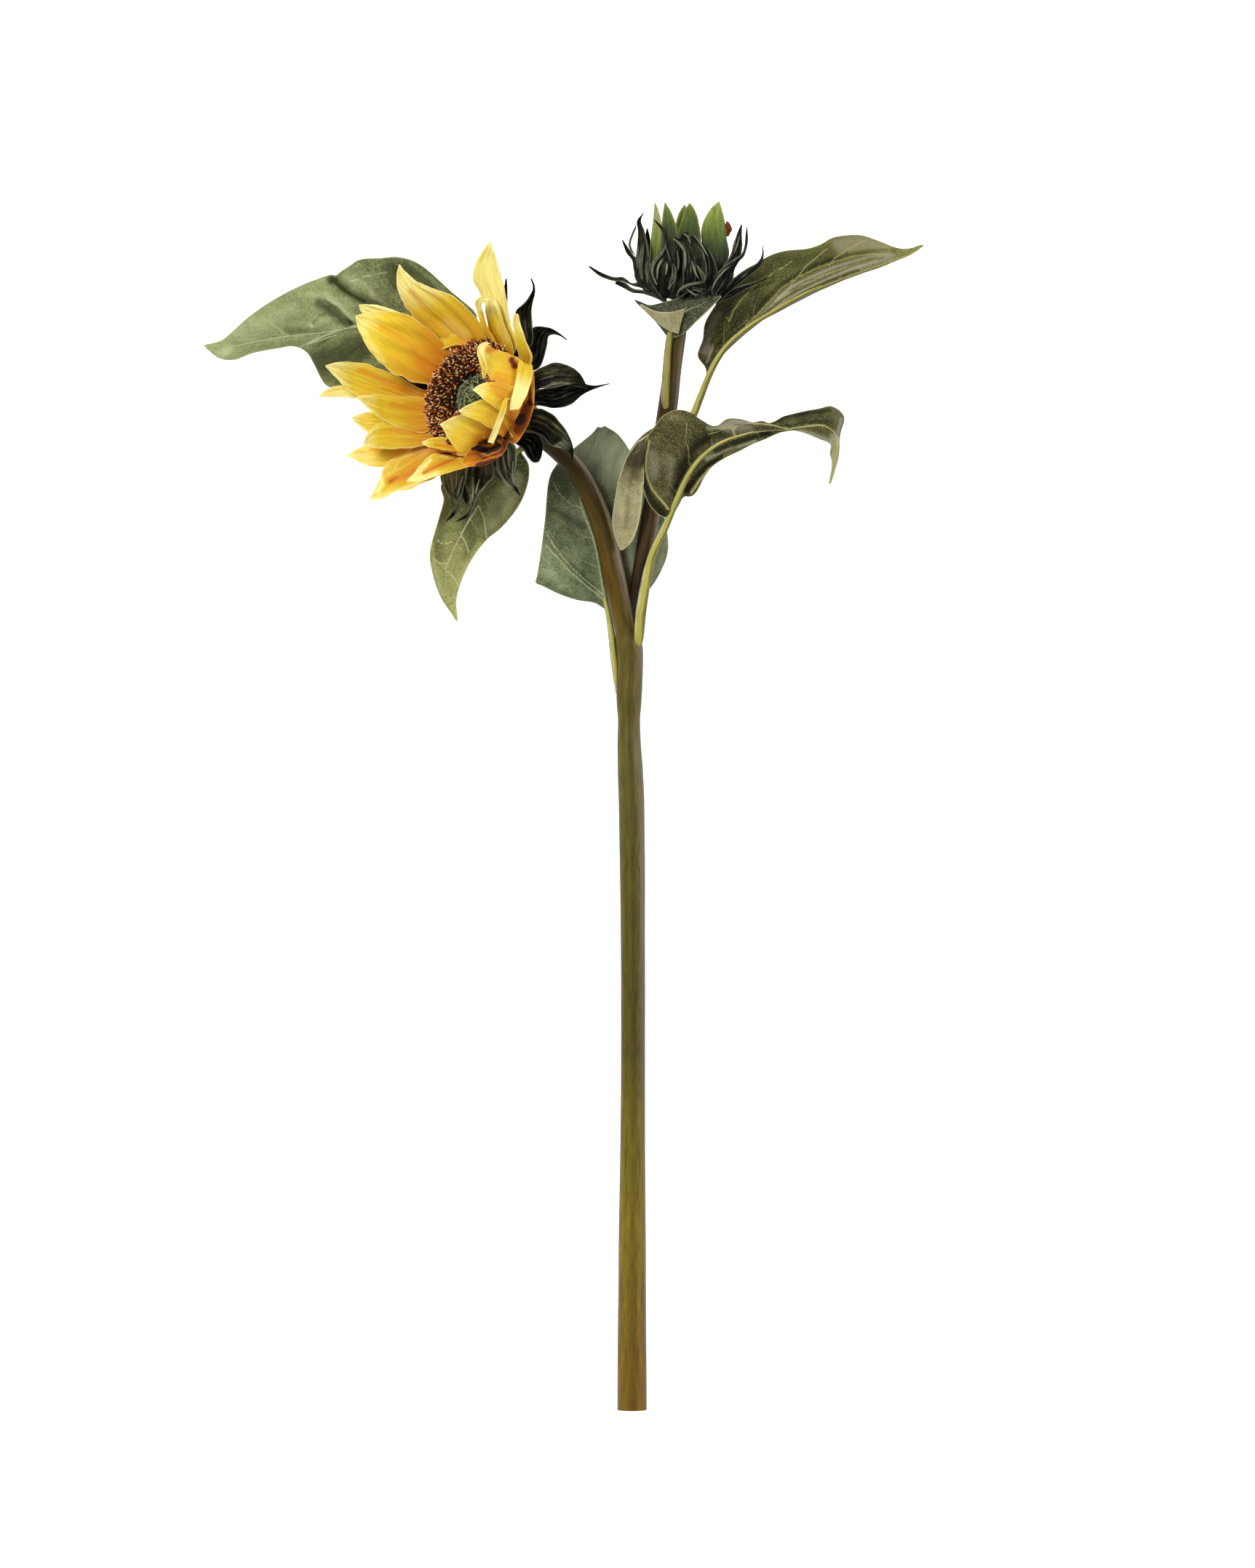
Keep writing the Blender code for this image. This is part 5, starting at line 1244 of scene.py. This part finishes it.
for number, stations in PETAL_SHAPES.items():
    look = {"folds": SMOOTH_PETALS.get(number, 0.9), "rim": 3.0 if number in SMOOTH_PETALS else 1.0}
    look.update(cup=PETAL_CUP.get(number, 1.1), ruffle=PETAL_RUFFLE.get(number, 0.5))
    look.update(shades=PETAL_SHADES.get(number, ()), pale=PETAL_PALE.get(number, 0))
    shapes = [panel(over_flower(stations), seed=100 + 7 * number, **look)]
    if number in PETAL_LOBES:
        look = {"cup": 0.8, "folds": 0.3, "ridges": 1, "across": 6, "pale": LOBE_PALE[number]}
        lobe = over_flower(PETAL_LOBES[number])
        shapes.append(panel(lobe, seed=180 + number, shades=LOBE_SHADES.get(number, ()), **look))
    make_piece(f"ray_petal_{number:02d}", shapes, [petal_finish, petal_finish], sharp=80)


# ------------------------------------------------------------------ flower bracts
# Pointed green-black leaves of crumpled cotton that were starched, pleated and bent back behind the petals.
# Their tips are drawn out thin and twisted, and pleats with a painted pale highlight run the length of each.

BRACT_THICKNESS = 0.5

# Starched cotton dyed green-black: pleats catch the light grey-green, and the tips stay nearly black. The
# dye's clouds are about 9 mm across, and the finest pleats about 0.8 mm apart.
BRACT_DARK, BRACT_BODY, BRACT_LIGHT, BRACT_PALE_AND_HIGHLIGHT = "#0a0906", "#1a180d", "#3a3921", "#7c7e66"
bract_finish, tree = new_material("green_black_starched_cotton")
notes = ("run", "side", "tone", "pale", "tint", "edge")
run, side, tone, pale, tint, edge = (add(tree, "Attribute", {"attribute_name": note}) for note in notes)
where = add(tree, "TexCoord", {})
clouds = add(tree, "TexNoise", {"Scale": 110, "Detail": 4, "Roughness": 0.6, "Vector": where})
greener = add(tree, "Math", {"operation": "ADD", 0: clouds, 1: pale})
# The dye's clouds and each bract's paleness, with the strokes of painted light and shade added.
dye_with_painted_shade = add(tree, "Math", {"operation": "ADD", 0: greener, 1: tint})
dye_stops = [(0.36, BRACT_DARK), (0.52, BRACT_BODY), (0.75, BRACT_LIGHT), (1.0, BRACT_PALE_AND_HIGHLIGHT)]
dyed = add(tree, "ValToRGB", {"stops": dye_stops, "Fac": dye_with_painted_shade})
length = add(tree, "Math", {"operation": "MULTIPLY", 0: run, 1: 2.5})
lay = add(tree, "CombineXYZ", {"X": side, "Y": length, "Z": tone})
pleats = add(tree, "TexNoise", {"Scale": 1.3, "Detail": 4, "Roughness": 0.65, "Vector": lay})
layers = [
    # Painted highlights on the pleats and along the margins, then the tips made nearly black.
    (pleats, 0.56, 0.66, 0.5, BRACT_PALE_AND_HIGHLIGHT),
    (edge, 0.8, 0.2, 0.5, BRACT_PALE_AND_HIGHLIGHT),
    (run, 0.66, 0.88, 1, BRACT_DARK),
]
colour = inked(tree, dyed, layers)
relief = add(tree, "Bump", {"Strength": 0.5, "Distance": 0.0008, "Height": pleats})
look = {"Roughness": 0.55, "Specular IOR Level": 0.12, "Base Color": colour, "Normal": relief}
add(tree, "OutputMaterial", {"Surface": add(tree, "BsdfPrincipled", look)})

BRACT_SHAPES = {
    1: [(-24, 234, -10, -24, 224, -10), (-14, 240, -13, -14, 229, -13), (-5, 244, -17, -6, 230, -17),
        (3, 242.5, -21, 2, 231.8, -20), (9, 238, -25, 8, 232.5, -24), (12.5, 232.5, -28, 12, 231.8, -28)],
    2: [(-30, 244, -10, -24, 238, -10), (-19.5, 250, -11, -13.5, 241, -12), (-19, 258, -10, -9.5, 251, -12),
        (-15.5, 263, -10, -8, 258.5, -12), (-9, 263.3, -12, -5, 259.8, -14), (-3, 260.8, -16, -2, 259, -16.5),
        (2.2, 257, -19, 2, 256.4, -19)],
    3: [(-36, 246, -10, -30, 244, -10), (-25, 255, -5, -17.5, 253, -6), (-26, 265, 1, -16.5, 264, 0),
        (-25.5, 273, 7, -16.8, 273, 6), (-20, 278.5, 12, -16, 280.5, 11), (-16.6, 285, 17, -15.4, 285.5, 17),
        (-17.8, 290.5, 20, -17.3, 290.5, 20)],
    4: [(-44, 246, -10, -38, 246, -10), (-38, 258, -7, -33, 257, -7), (-35.5, 268, -2, -31, 268, -2),
        (-33, 278, 2, -30.6, 278, 2), (-32.2, 285, 6, -30.7, 285, 6), (-31.6, 290.3, 8, -31, 290.3, 8)],
    5: [(-58, 238, -10, -61, 229, -10), (-70, 242, -7, -72, 226, -7), (-80, 243, -0.5, -82, 228, -0.5),
        (-88, 242.5, 4, -90, 232.5, 4), (-95, 241, 9, -95, 240, 9)],
    6: [(-62, 222, -10, -61, 212, -10), (-74, 222, -9, -73, 210, -9), (-86, 222, -4, -84, 213, -4),
        (-97, 222, 3, -96, 217, 3), (-105, 222, 9, -105, 221, 9)],
    7: [(-62, 205, -11, -52, 204, -11), (-66, 188, -11, -52, 188, -11), (-66.8, 180, -12, -53, 180, -12),
        (-63.5, 173.5, -13, -54.6, 173.5, -13), (-60.4, 169, -14, -56, 169, -14),
        (-58.9, 165, -14.5, -57.2, 165, -14.5), (-61.4, 160.6, -16, -60, 160, -16),
        (-64.2, 157.3, -17, -63.9, 157, -17)],
    8: [(-44, 203, -12, -34, 206, -12), (-40, 192, -14, -25.8, 198, -15), (-39, 185, -16, -25.6, 190, -18),
        (-35.5, 180.4, -18, -26.2, 184, -20), (-30.8, 177.6, -20, -26.6, 180, -21.5),
        (-27.6, 174.8, -22, -25.4, 175.6, -22.5), (-23.9, 171, -24, -23.5, 171.1, -24)],
    9: [(-30, 207, -11, -34, 201, -11), (-22, 206, -15, -28, 200.5, -14), (-14, 205, -18, -22, 196.5, -17),
        (-11, 199.5, -21, -19.5, 192, -20), (-11.8, 193, -23, -16.5, 189.6, -23),
        (-13.5, 189.5, -24, -14.5, 189.2, -24)],
    10: [(-24, 226, -13, -22, 218, -13), (-15, 229, -18, -14, 220.5, -19), (-6, 230.5, -24, -5, 219, -25),
         (3, 233.5, -29, 4, 221, -30), (11, 232.5, -34, 11, 226.5, -35), (18, 231.5, -38, 18, 230, -39),
         (25.3, 232.8, -42, 25.3, 232.3, -42)],
    11: [(-54, 203, -13, -42, 201, -13), (-53, 188, -14, -38, 188, -14), (-53.5, 180, -15, -39, 181, -15),
         (-52.6, 174.5, -16, -42.8, 176, -16), (-51.2, 170, -17, -47, 171.2, -17),
         (-50.8, 165.6, -18, -49, 166, -18), (-53.4, 160.4, -19.5, -52, 159.6, -19.5),
         (-58.8, 157, -21, -58.5, 156.7, -21)],
    12: [(-30, 214, -12, -28, 205, -12), (-18, 219, -16, -20, 207, -16), (-9, 217.5, -21, -12, 204, -21),
         (-2, 212, -25, -7, 199, -26), (3, 204.5, -29, -1, 197, -30), (5.5, 197.5, -33, 3.5, 194.5, -33),
         (5.5, 190.5, -36, 5, 190.3, -36)],
}
BRACT_LOBES = {
    11: [(-57, 186, -17, -50, 186, -17), (-57, 178, -18, -49.5, 178, -18), (-56, 173, -19, -50, 173, -19),
         (-54.4, 169, -20, -51.6, 169, -20), (-53.4, 166.2, -20.5, -53, 166, -20.5)],
}
BRACT_PALE = {1: 0.08, 2: -0.02, 7: 0.55, 8: 0.42, 9: -0.25, 10: -0.18, 11: 0.36, 12: 0.14}
# Painted light and shade, as (width, amount, points): painted highlights on creases above zero and painted
# shade in hollows below.
BRACT_SHADES = [(0.8, 0.5, [(-13, 229), (-6, 232.3), (0, 233.2), (6, 231.5), (13, 230)]),
                (2.5, 0.12, [(-13, 238), (-4, 240), (5, 237)]), (3.5, -0.2, [(-10, 224), (0, 224), (8, 226)]),
                (1.6, 0.55, [(-5, 197.5), (0, 199.6), (4, 198)]),
                (2.2, 0.15, [(-14, 214), (-4, 210), (1, 203)]),
                (2.6, -0.3, [(-16, 207), (-9, 203), (-6, 199)]), (2.2, -0.3, [(-47, 184), (-46, 177)]),
                (1.2, 0.4, [(-36, 186), (-33, 180)]), (1.8, -0.3, [(-55.5, 184), (-55, 174), (-57, 164)])]
# Fine creases ironed into the three that lie over the hanging leaf, as (width, paleness, points); the
# paleness is a painted highlight on each crease.
BRACT_FOLDS = {
    7: [(0.9, 0.85, [(-65.8, 182, -11), (-65.2, 176, -11.4), (-62.8, 170.6, -12.2), (-60.2, 165.4, -13)]),
        (0.8, 0.9, [(-62, 184, -10.5), (-60.8, 176, -11.2), (-59, 169, -12.2)]),
        (0.8, 0.8, [(-55, 182, -10.6), (-57, 175, -11.4), (-58.6, 168.6, -12.4)]),
        (0.7, 0.7, [(-58.4, 185, -10.4), (-58.6, 178, -11.2), (-60, 172, -12)])],
    8: [(0.9, 0.85,
         [(-36.6, 190, -12.6), (-35, 184, -14.6), (-31.6, 178.4, -17.6), (-28, 175.4, -20),
          (-24.4, 171.8, -22.4)]),
        (0.7, 0.8, [(-33.6, 196, -11.8), (-32.4, 188, -14), (-29.6, 180.6, -17.6)]),
        (0.8, 0.9, [(-27.6, 190, -16), (-28, 184, -17.6), (-27.2, 178.4, -20), (-24.6, 174, -22)]),
        (0.7, 0.7, [(-30.4, 197, -12), (-30, 190, -14.4), (-28.6, 183, -17.4)]),
        (0.6, 0.8, [(-37.4, 186.6, -13.6), (-34.6, 182.4, -15.6), (-32, 180, -17)])],
    11: [(0.9, 0.75, [(-49.6, 181, -13.4), (-49.4, 175.6, -14.4), (-49.6, 170, -15.4), (-50, 165, -16.4)]),
         (0.7, 0.6, [(-46, 180, -13.4), (-47.6, 174.6, -14.6), (-48.6, 170, -15.6)])],
}


def fold(path, width):
    """A narrow fold of cloth along a path, drawn out thin at both ends, as rows of its two margins."""
    centre = smooth(path, 12)
    ahead = np.gradient(centre[:, :2], axis=0)
    across = np.stack([-ahead[:, 1], ahead[:, 0]], axis=1) / np.linalg.norm(ahead, axis=1, keepdims=True)
    reach = across * width / 2 * np.sin(np.linspace(0.35, 3.05, len(centre)))[:, None]
    spot, height = centre[:, :2], centre[:, 2:]
    return np.concatenate([spot - reach, height, spot + reach, height], axis=1)


for number, stations in BRACT_SHAPES.items():
    look = {"cup": 1.2, "folds": 1.1, "ruffle": 0.9, "ridges": 4, "across": 12, "thickness": BRACT_THICKNESS}
    look.update(shades=BRACT_SHADES, pale=BRACT_PALE.get(number, 0))
    shapes = [panel(over_flower(stations), seed=300 + 7 * number, **look)]
    if number in BRACT_LOBES:
        shapes.append(panel(over_flower(BRACT_LOBES[number]), seed=390 + number, **look))
    look = {"cup": -0.2, "folds": 0.2, "ridges": 1, "across": 3, "thickness": BRACT_THICKNESS}
    for width, paleness, path in BRACT_FOLDS.get(number, []):
        crease = over_flower(fold(path, width))
        shapes.append(panel(crease, seed=400 + 10 * number + len(shapes), pale=paleness, **look))
    make_piece(f"flower_bract_{number:02d}", shapes, [bract_finish, bract_finish], sharp=80)


# ------------------------------------------------------------------ bud
# A flocked cup on the branch's end holds five green taffeta petals, pressed along their veins and paler at
# their tips. Round them stand the crumpled dark bracts, some of which were pulled out sideways when the
# stem was unpacked.

BUD_BASE = Vector((64.8, 277.5, 25.8))
BUD_AXIS = Vector((0.075, 0.985, 0.12)).normalized()
bud = turned_frame(BUD_BASE, BUD_AXIS, Vector((1, 0, 0)))
CUP_PROFILE = [(0.01, 19), (8, 18), (14.5, 14), (15.5, 9), (13, 5), (8.5, 2), (5.2, 0.05), (0.01, 0)]
cup = turned_solid(CUP_PROFILE, bud, steps=48, wobble=0.02, seed=81)
make_piece("bud_receptacle", [(*cup, 0)], [flock_finish])

green_dyes = ("#2c3a0c", "#55661f", "#7d8f39", "#9c9a60", "#141a08", "#0a0d05")
bud_petal_finish = petal_taffeta("green_taffeta", *green_dyes, lining=0.75)
BUD_PETAL_SHAPES = {
    1: [(60, 292, 14, 72, 292, 14), (60, 305, 14, 73, 305, 14), (61, 316, 16, 72, 316, 16),
        (63, 325, 18, 70, 325, 18), (66.5, 331, 20, 67, 331, 20)],
    2: [(47, 292, 24, 54, 292, 31), (47.5, 303, 25, 54.3, 303, 32), (48.3, 313, 27, 54.3, 313, 33),
        (49.3, 321, 28, 54, 321, 33), (50, 327, 29, 52.6, 327, 32), (50.2, 332.2, 31, 50.7, 332.2, 31)],
    3: [(53, 292, 38, 64, 292, 41), (53, 303, 38, 64, 303, 41), (53.5, 312, 37.5, 63, 312, 40),
        (54, 319, 37, 62.2, 319, 39), (55, 327, 36.5, 59.5, 327, 37.5),
        (55.8, 332.4, 36.5, 56.2, 332.3, 36.5)],
    4: [(62.5, 292, 40, 76.5, 292, 40), (62.5, 304, 40, 76.3, 304, 40), (63, 314, 39, 75.7, 314, 39),
        (64.8, 322, 38, 74.6, 322, 38), (67.2, 328.5, 37, 72.2, 328.5, 37),
        (69.3, 331.9, 36.5, 69.8, 331.9, 36.5)],
    5: [(80, 294, 34, 88, 294, 30), (77.5, 304, 36, 91, 304, 28), (76, 314, 36, 90, 314, 28),
        (77.5, 322, 36, 89, 322, 29), (81, 328.5, 35, 87.3, 328.5, 31), (85.4, 332.8, 33, 85.9, 332.7, 33)],
}
BUD_PETAL_PALE = {1: -0.3, 2: 0.26, 3: -0.42, 4: -0.4, 5: -0.1}
# A torn scrap of a dried, rust-coloured petal caught behind the fifth.
DRIED_SCRAP = [(88, 313, 27, 91, 313.6, 27), (88.6, 315.6, 28, 92.2, 316, 27),
               (89, 318, 28.4, 93, 317.4, 27.6), (89.2, 319.6, 29, 92, 320, 28),
               (89.6, 321.6, 29, 90.6, 322, 29)]

for number, stations in BUD_PETAL_SHAPES.items():
    look = {"cup": -1.6, "folds": 0.35, "ruffle": 0.2, "pale": BUD_PETAL_PALE[number]}
    shapes = [panel(below_camera(stations), seed=500 + 7 * number, **look)]
    if number == 5:
        look = {"cup": -0.6, "folds": 0.5, "ruffle": 1.2, "ridges": 2, "along": 20, "across": 5, "pale": -0.6}
        look["shades"] = [(6, -0.85, [(88.5, 314), (91, 321)])]
        points, faces, notes, numbers = panel(below_camera(DRIED_SCRAP), seed=551, **look)
        shapes.append((points, faces, notes, [2 + n for n in numbers]))
    finishes = [bud_petal_finish, bud_petal_finish, petal_finish, petal_finish]
    make_piece(f"bud_petal_{number}", shapes, finishes, sharp=80)

# Each bract's cloth, one outline for each strip that it is torn into.
BUD_BRACT_SHAPES = {
    1: [[(82, 280, 30, 86, 277.5, 28), (89, 286.5, 30, 92, 283.5, 28), (95, 291.5, 29, 98, 288.5, 27),
         (101, 295.8, 28, 104, 293, 27), (106.5, 299, 28, 108.5, 297, 27), (109.2, 303, 28, 110.3, 303, 28),
         (109.6, 308.8, 28, 109.9, 308.8, 28)],
        [(82, 278.5, 28, 84, 276.5, 26), (90, 283.5, 27, 92, 279.5, 25), (98, 286.5, 26, 99, 283.5, 25),
         (105, 288.5, 25, 105.5, 286.6, 25), (110, 290, 25, 110, 289, 25),
         (114.5, 291.6, 25, 114.5, 291.2, 25)]],
    2: [[(74, 281, 22, 80, 281, 22), (80, 292, 16, 87, 292, 20), (80, 302, 16, 87, 302, 20),
         (82, 311, 20, 85, 311, 21), (83, 317, 23, 83.6, 317, 23)]],
    3: [[(60, 280, 18, 69, 280, 18), (58, 292, 9.5, 70, 292, 9.5), (60, 303, 10, 69, 303, 10),
         (63, 312, 14, 67, 312, 14), (65, 318, 16, 65.5, 318, 16)]],
    4: [[(50, 281, 22, 56, 281, 20), (43, 292, 19, 51, 292, 14), (43, 302, 19, 50, 302, 15),
         (45, 312, 21, 48, 312, 19), (46, 318, 23, 46.5, 318, 23)]],
    5: [[(57, 281, 33, 57, 276.8, 29), (52, 288, 32, 52, 279, 28), (46, 288.8, 31, 47, 281, 27),
         (41, 288.3, 29, 43.5, 284.8, 28), (37.5, 288, 28, 38.8, 286.2, 28), (33, 291.2, 28, 33, 288.6, 28),
         (28, 291.2, 28, 28, 288.9, 28), (21.4, 293.6, 28, 20.4, 291.6, 28),
         (14.5, 297.4, 28, 14, 296.7, 28)],
        [(50, 282, 28, 50, 280, 27), (44.5, 283.8, 27, 44, 281.8, 26), (38.5, 284.8, 27, 38, 282.6, 26),
         (34, 288, 27, 33, 285.2, 26), (29, 289, 27, 28.5, 287.4, 27)]],
    6: [[(52, 281, 33, 57, 280, 36), (40.5, 289, 30, 48, 288, 38), (39.5, 297, 30, 47.5, 298, 38),
         (41, 308, 31, 46.6, 308, 36), (41.3, 316, 32, 44.8, 316, 34), (40.6, 322, 33, 42.8, 322, 33.5),
         (43.9, 326.4, 34, 44.6, 326.7, 34)],
        [(44, 288, 28, 48, 286, 30), (39.3, 294, 27, 43, 294, 30), (38, 300.5, 28, 41, 300.5, 30),
         (34.6, 305, 28, 38, 304, 29), (32.2, 311.8, 29, 32.7, 311.8, 29)],
        [(40.5, 302, 33, 41, 301, 33), (36.8, 306, 33, 38, 306.5, 33), (36, 310, 33, 37.3, 310, 33),
         (37.8, 315.5, 33, 38.9, 315, 33), (39.6, 319.6, 33, 40.2, 318.8, 33),
         (37.5, 321.6, 33, 37.9, 321.9, 33)]],
    7: [[(54, 279.5, 36, 59, 279.5, 37), (48.5, 287, 39, 61, 285, 43), (47, 295, 41, 62.3, 294, 44.5),
         (51, 303, 42.5, 59, 302, 44.5), (54.4, 308, 43, 56.8, 308, 43.5), (54.8, 314.5, 42, 56.2, 314.5, 42),
         (52.6, 319, 40.5, 53.9, 319.5, 40.5), (49.6, 322.6, 39.5, 50, 322.9, 39.5)],
        [(63, 280, 39, 72, 280, 39), (65.5, 288, 43.5, 78, 288, 42.5), (66, 296, 45, 79, 296, 43),
         (66.4, 304, 45, 77, 304, 43), (65.6, 309.5, 44, 72, 309, 43), (60.5, 312.9, 42.5, 61, 313.2, 42.5)],
        [(64.5, 280, 41, 63, 283, 41), (69.5, 283.4, 45, 65, 286.2, 45), (73.5, 284.5, 47, 70, 288, 47),
         (77.3, 281.5, 46.5, 77.5, 288.4, 46.5), (76.5, 280.5, 45, 79, 284, 45)],
        [(59, 282, 36, 66, 282, 38), (60, 292, 39, 68, 292, 42), (60.5, 302, 40.5, 68, 302, 42.5),
         (63, 310, 41.5, 67, 310, 42), (66, 316, 41, 69, 315.5, 41)]],
    8: [[(76, 279.5, 37, 83, 279, 33), (82, 287, 40, 92, 287, 34), (86, 294, 39, 94, 295, 34),
         (92, 299.5, 37, 97, 300.5, 34), (98, 304, 35, 99.5, 302.8, 34), (99.8, 309, 34, 101.4, 309, 34),
         (100.2, 314, 34, 101.6, 314, 34), (100.8, 318.6, 34, 101.3, 318.6, 34)],
        [(88, 297, 34, 93, 295.5, 32), (91.8, 303, 34, 97, 301, 32), (93.4, 309, 33.5, 98.4, 308, 32.5),
         (95.6, 315, 33, 98.3, 315, 33), (97.8, 320.2, 33, 98.5, 320.2, 33)],
        [(74, 283, 40, 82, 282, 37), (76, 292, 42, 85, 292, 39), (77, 300, 42.5, 83, 301, 40),
         (74, 308, 42, 78.5, 308, 40.5), (70.5, 313.6, 41.5, 71, 314, 41.5)]],
}
BUD_BRACT_PALE = {1: -0.1, 2: -0.2, 5: 0.16, 6: 0.05, 7: -0.08, 8: -0.2}
# Narrow folds that stand up from the bracts, as (width, paleness, path); the paleness is a painted
# highlight on each fold.
BUD_FOLDS = {
    5: [(1.08, 0.25, [(46.5, 287.6, 33), (50.5, 288, 35), (54, 285, 36), (57, 280, 35.5)]),
        (1.98, 0.15, [(45, 285, 31), (50, 284.5, 33.5), (55, 280.5, 34.5)])],
    6: [(2.16, 0.21, [(43.4, 290, 39.5), (42.6, 298, 40), (43.4, 306, 39.5), (44.2, 313, 38)]),
        (1.26, 0.15, [(46.6, 288, 40.5), (45.8, 296, 41), (46.6, 303, 40)]),
        (1.17, 0.15, [(40.8, 296, 36.5), (40.8, 304, 37), (41.8, 311, 37)])],
    7: [(1.8, 0.27,
         [(51.5, 287, 43.5), (48.9, 293.5, 43.8), (50.3, 299.6, 45), (54, 304.4, 45.6), (56.3, 309, 45),
          (56, 315.5, 43.5)]),
        (1.26, 0.3, [(51.6, 290, 45.8), (52.2, 296.5, 46.4), (54.6, 301, 46.8), (56.4, 303, 46.6)]),
        (0.99, 0.35, [(56.4, 292.5, 47), (57.1, 297, 47.6), (56.6, 300.4, 47.2)]),
        (2.52, 0.01, [(58, 284.5, 46), (60.6, 291, 46.8), (61, 296, 47), (59, 301, 46.6)]),
        (1.53, 0.35,
         [(60.6, 312.4, 44), (64, 309.4, 45.6), (66.7, 305, 46.6), (67.1, 298, 47), (66.4, 291, 46.6)]),
        (1.08, 0.25, [(70.8, 300, 46.4), (72.8, 293.5, 46.8), (75.8, 288.5, 46.4)]),
        (1.98, 0.11, [(73.6, 297.5, 46), (77, 291.5, 46), (77, 286.5, 45.4)]),
        (1.44, 0.27,
         [(62.4, 280.6, 43), (64, 284, 46), (68, 286.6, 48), (73, 287.8, 48.4), (77.6, 288.2, 47.4),
          (79.3, 285, 46.4)]),
        (1.08, 0.23, [(68, 284.4, 47.6), (71.5, 282, 48), (75.2, 280.4, 47.4)]),
        (2.7, 0.07, [(71, 285, 47), (74.5, 284.6, 47.4), (77.6, 283.4, 47)]),
        (1.26, 0.27, [(72, 314, 43.4), (75.3, 310, 44.6), (78.3, 305, 44.8), (81.6, 299.6, 43.6)]),
        (1.08, 0.15, [(66, 315.4, 43), (69, 312.6, 44.2), (70.4, 307.4, 44.8)]),
        (0.9, 0.1, [(62.6, 306, 44.6), (63.4, 299, 45), (62.4, 292, 44.6)])],
    8: [(0.9, 0.35, [(81.5, 283.6, 41), (84.6, 290, 42), (89, 295, 41.2), (95, 299.4, 38.6)]),
        (0.9, 0.15, [(94, 304, 35.4), (96, 310, 35), (97.6, 317, 34.4)])],
}
# Painted shade in the dark hollows between the bud's bracts, and painted highlights, as (width, amount,
# points).
BUD_SHADES = [(3.2, -0.4, [(63.6, 281), (63.8, 305)]), (6, -0.9, [(84, 284), (91, 293)]),
              (2.2, -0.35, [(48.4, 293), (48.2, 312)]), (2, -0.3, [(57, 281), (52, 287)]),
              (3, 0.14, [(68, 311), (74, 304)]), (2, 0.12, [(54, 296), (59, 290)])]

for number, parts in BUD_BRACT_SHAPES.items():
    look = {"cup": -0.9, "folds": 1.0, "ruffle": 0.9, "across": 9, "thickness": BRACT_THICKNESS}
    look.update(shades=BUD_SHADES, pale=BUD_BRACT_PALE.get(number, 0))
    shapes = [panel(below_camera(part), seed=600 + 11 * number + k, **look) for k, part in enumerate(parts)]
    look = {"cup": -0.5, "folds": 0.9, "ruffle": 0.8, "ridges": 2, "across": 4, "thickness": BRACT_THICKNESS}
    for width, paleness, path in BUD_FOLDS.get(number, []):
        shapes.append(panel(below_camera(fold(path, width)), seed=700 + len(shapes), pale=paleness, **look))
    make_piece(f"bud_bract_{number}", shapes, [bract_finish, bract_finish], sharp=80)


# ------------------------------------------------------------------ table and studio light
# A matt white table, lit by one large soft box above and to the left, a weaker one to the right, a faint
# one at the stalk's end, and a white room.

# Half the table's side, in metres.
TABLE_HALF = 3.0

table_material, tree = new_material("matt_white_table")
grain = add(tree, "TexNoise", {"Scale": 40, "Detail": 4})
paint = add(tree, "ValToRGB", {"stops": [(0.3, "#dededd"), (0.7, "#e2e2e1")], "Fac": grain})
look = {"Roughness": 0.85, "Emission Color": "#ffffff", "Emission Strength": 0.85, "Base Color": paint}
add(tree, "OutputMaterial", {"Surface": add(tree, "BsdfPrincipled", look)})
table_mesh = bpy.data.meshes.new("table")
corners = [(x * TABLE_HALF, y * TABLE_HALF, 0) for x, y in ((-1, -1), (1, -1), (1, 1), (-1, 1))]
table_mesh.from_pydata(corners, [], [(0, 1, 2, 3)])
table_mesh.materials.append(table_material)
table = bpy.data.objects.new("table", table_mesh)
scene.collection.objects.link(table)

LIGHTS_FACE = Vector((0, 0.1, 0))
# Name, place and size in metres, and power in watts.
LIGHTS = [
    ("key_softbox", (-1.1, 1.15, 2.4), 0.85, 64),
    ("fill_softbox", (2.1, 0.6, 1.4), 1.0, 34),
    ("rim_softbox", (0.4, -1.9, 1.6), 1.0, 8),
]
for name, place, size, power in LIGHTS:
    light_data = bpy.data.lights.new(name, "AREA")
    light_data.shape = "SQUARE"
    light_data.size = size
    light_data.energy = power
    light = bpy.data.objects.new(name, light_data)
    scene.collection.objects.link(light)
    light.location = place
    light.rotation_euler = (LIGHTS_FACE - Vector(place)).to_track_quat("-Z", "Y").to_euler()

world = bpy.data.worlds.new("white_room")
world.use_nodes = True
background = world.node_tree.nodes["Background"]
background.inputs["Color"].default_value = linear("#ffffff")
background.inputs["Strength"].default_value = 0.34
scene.world = world
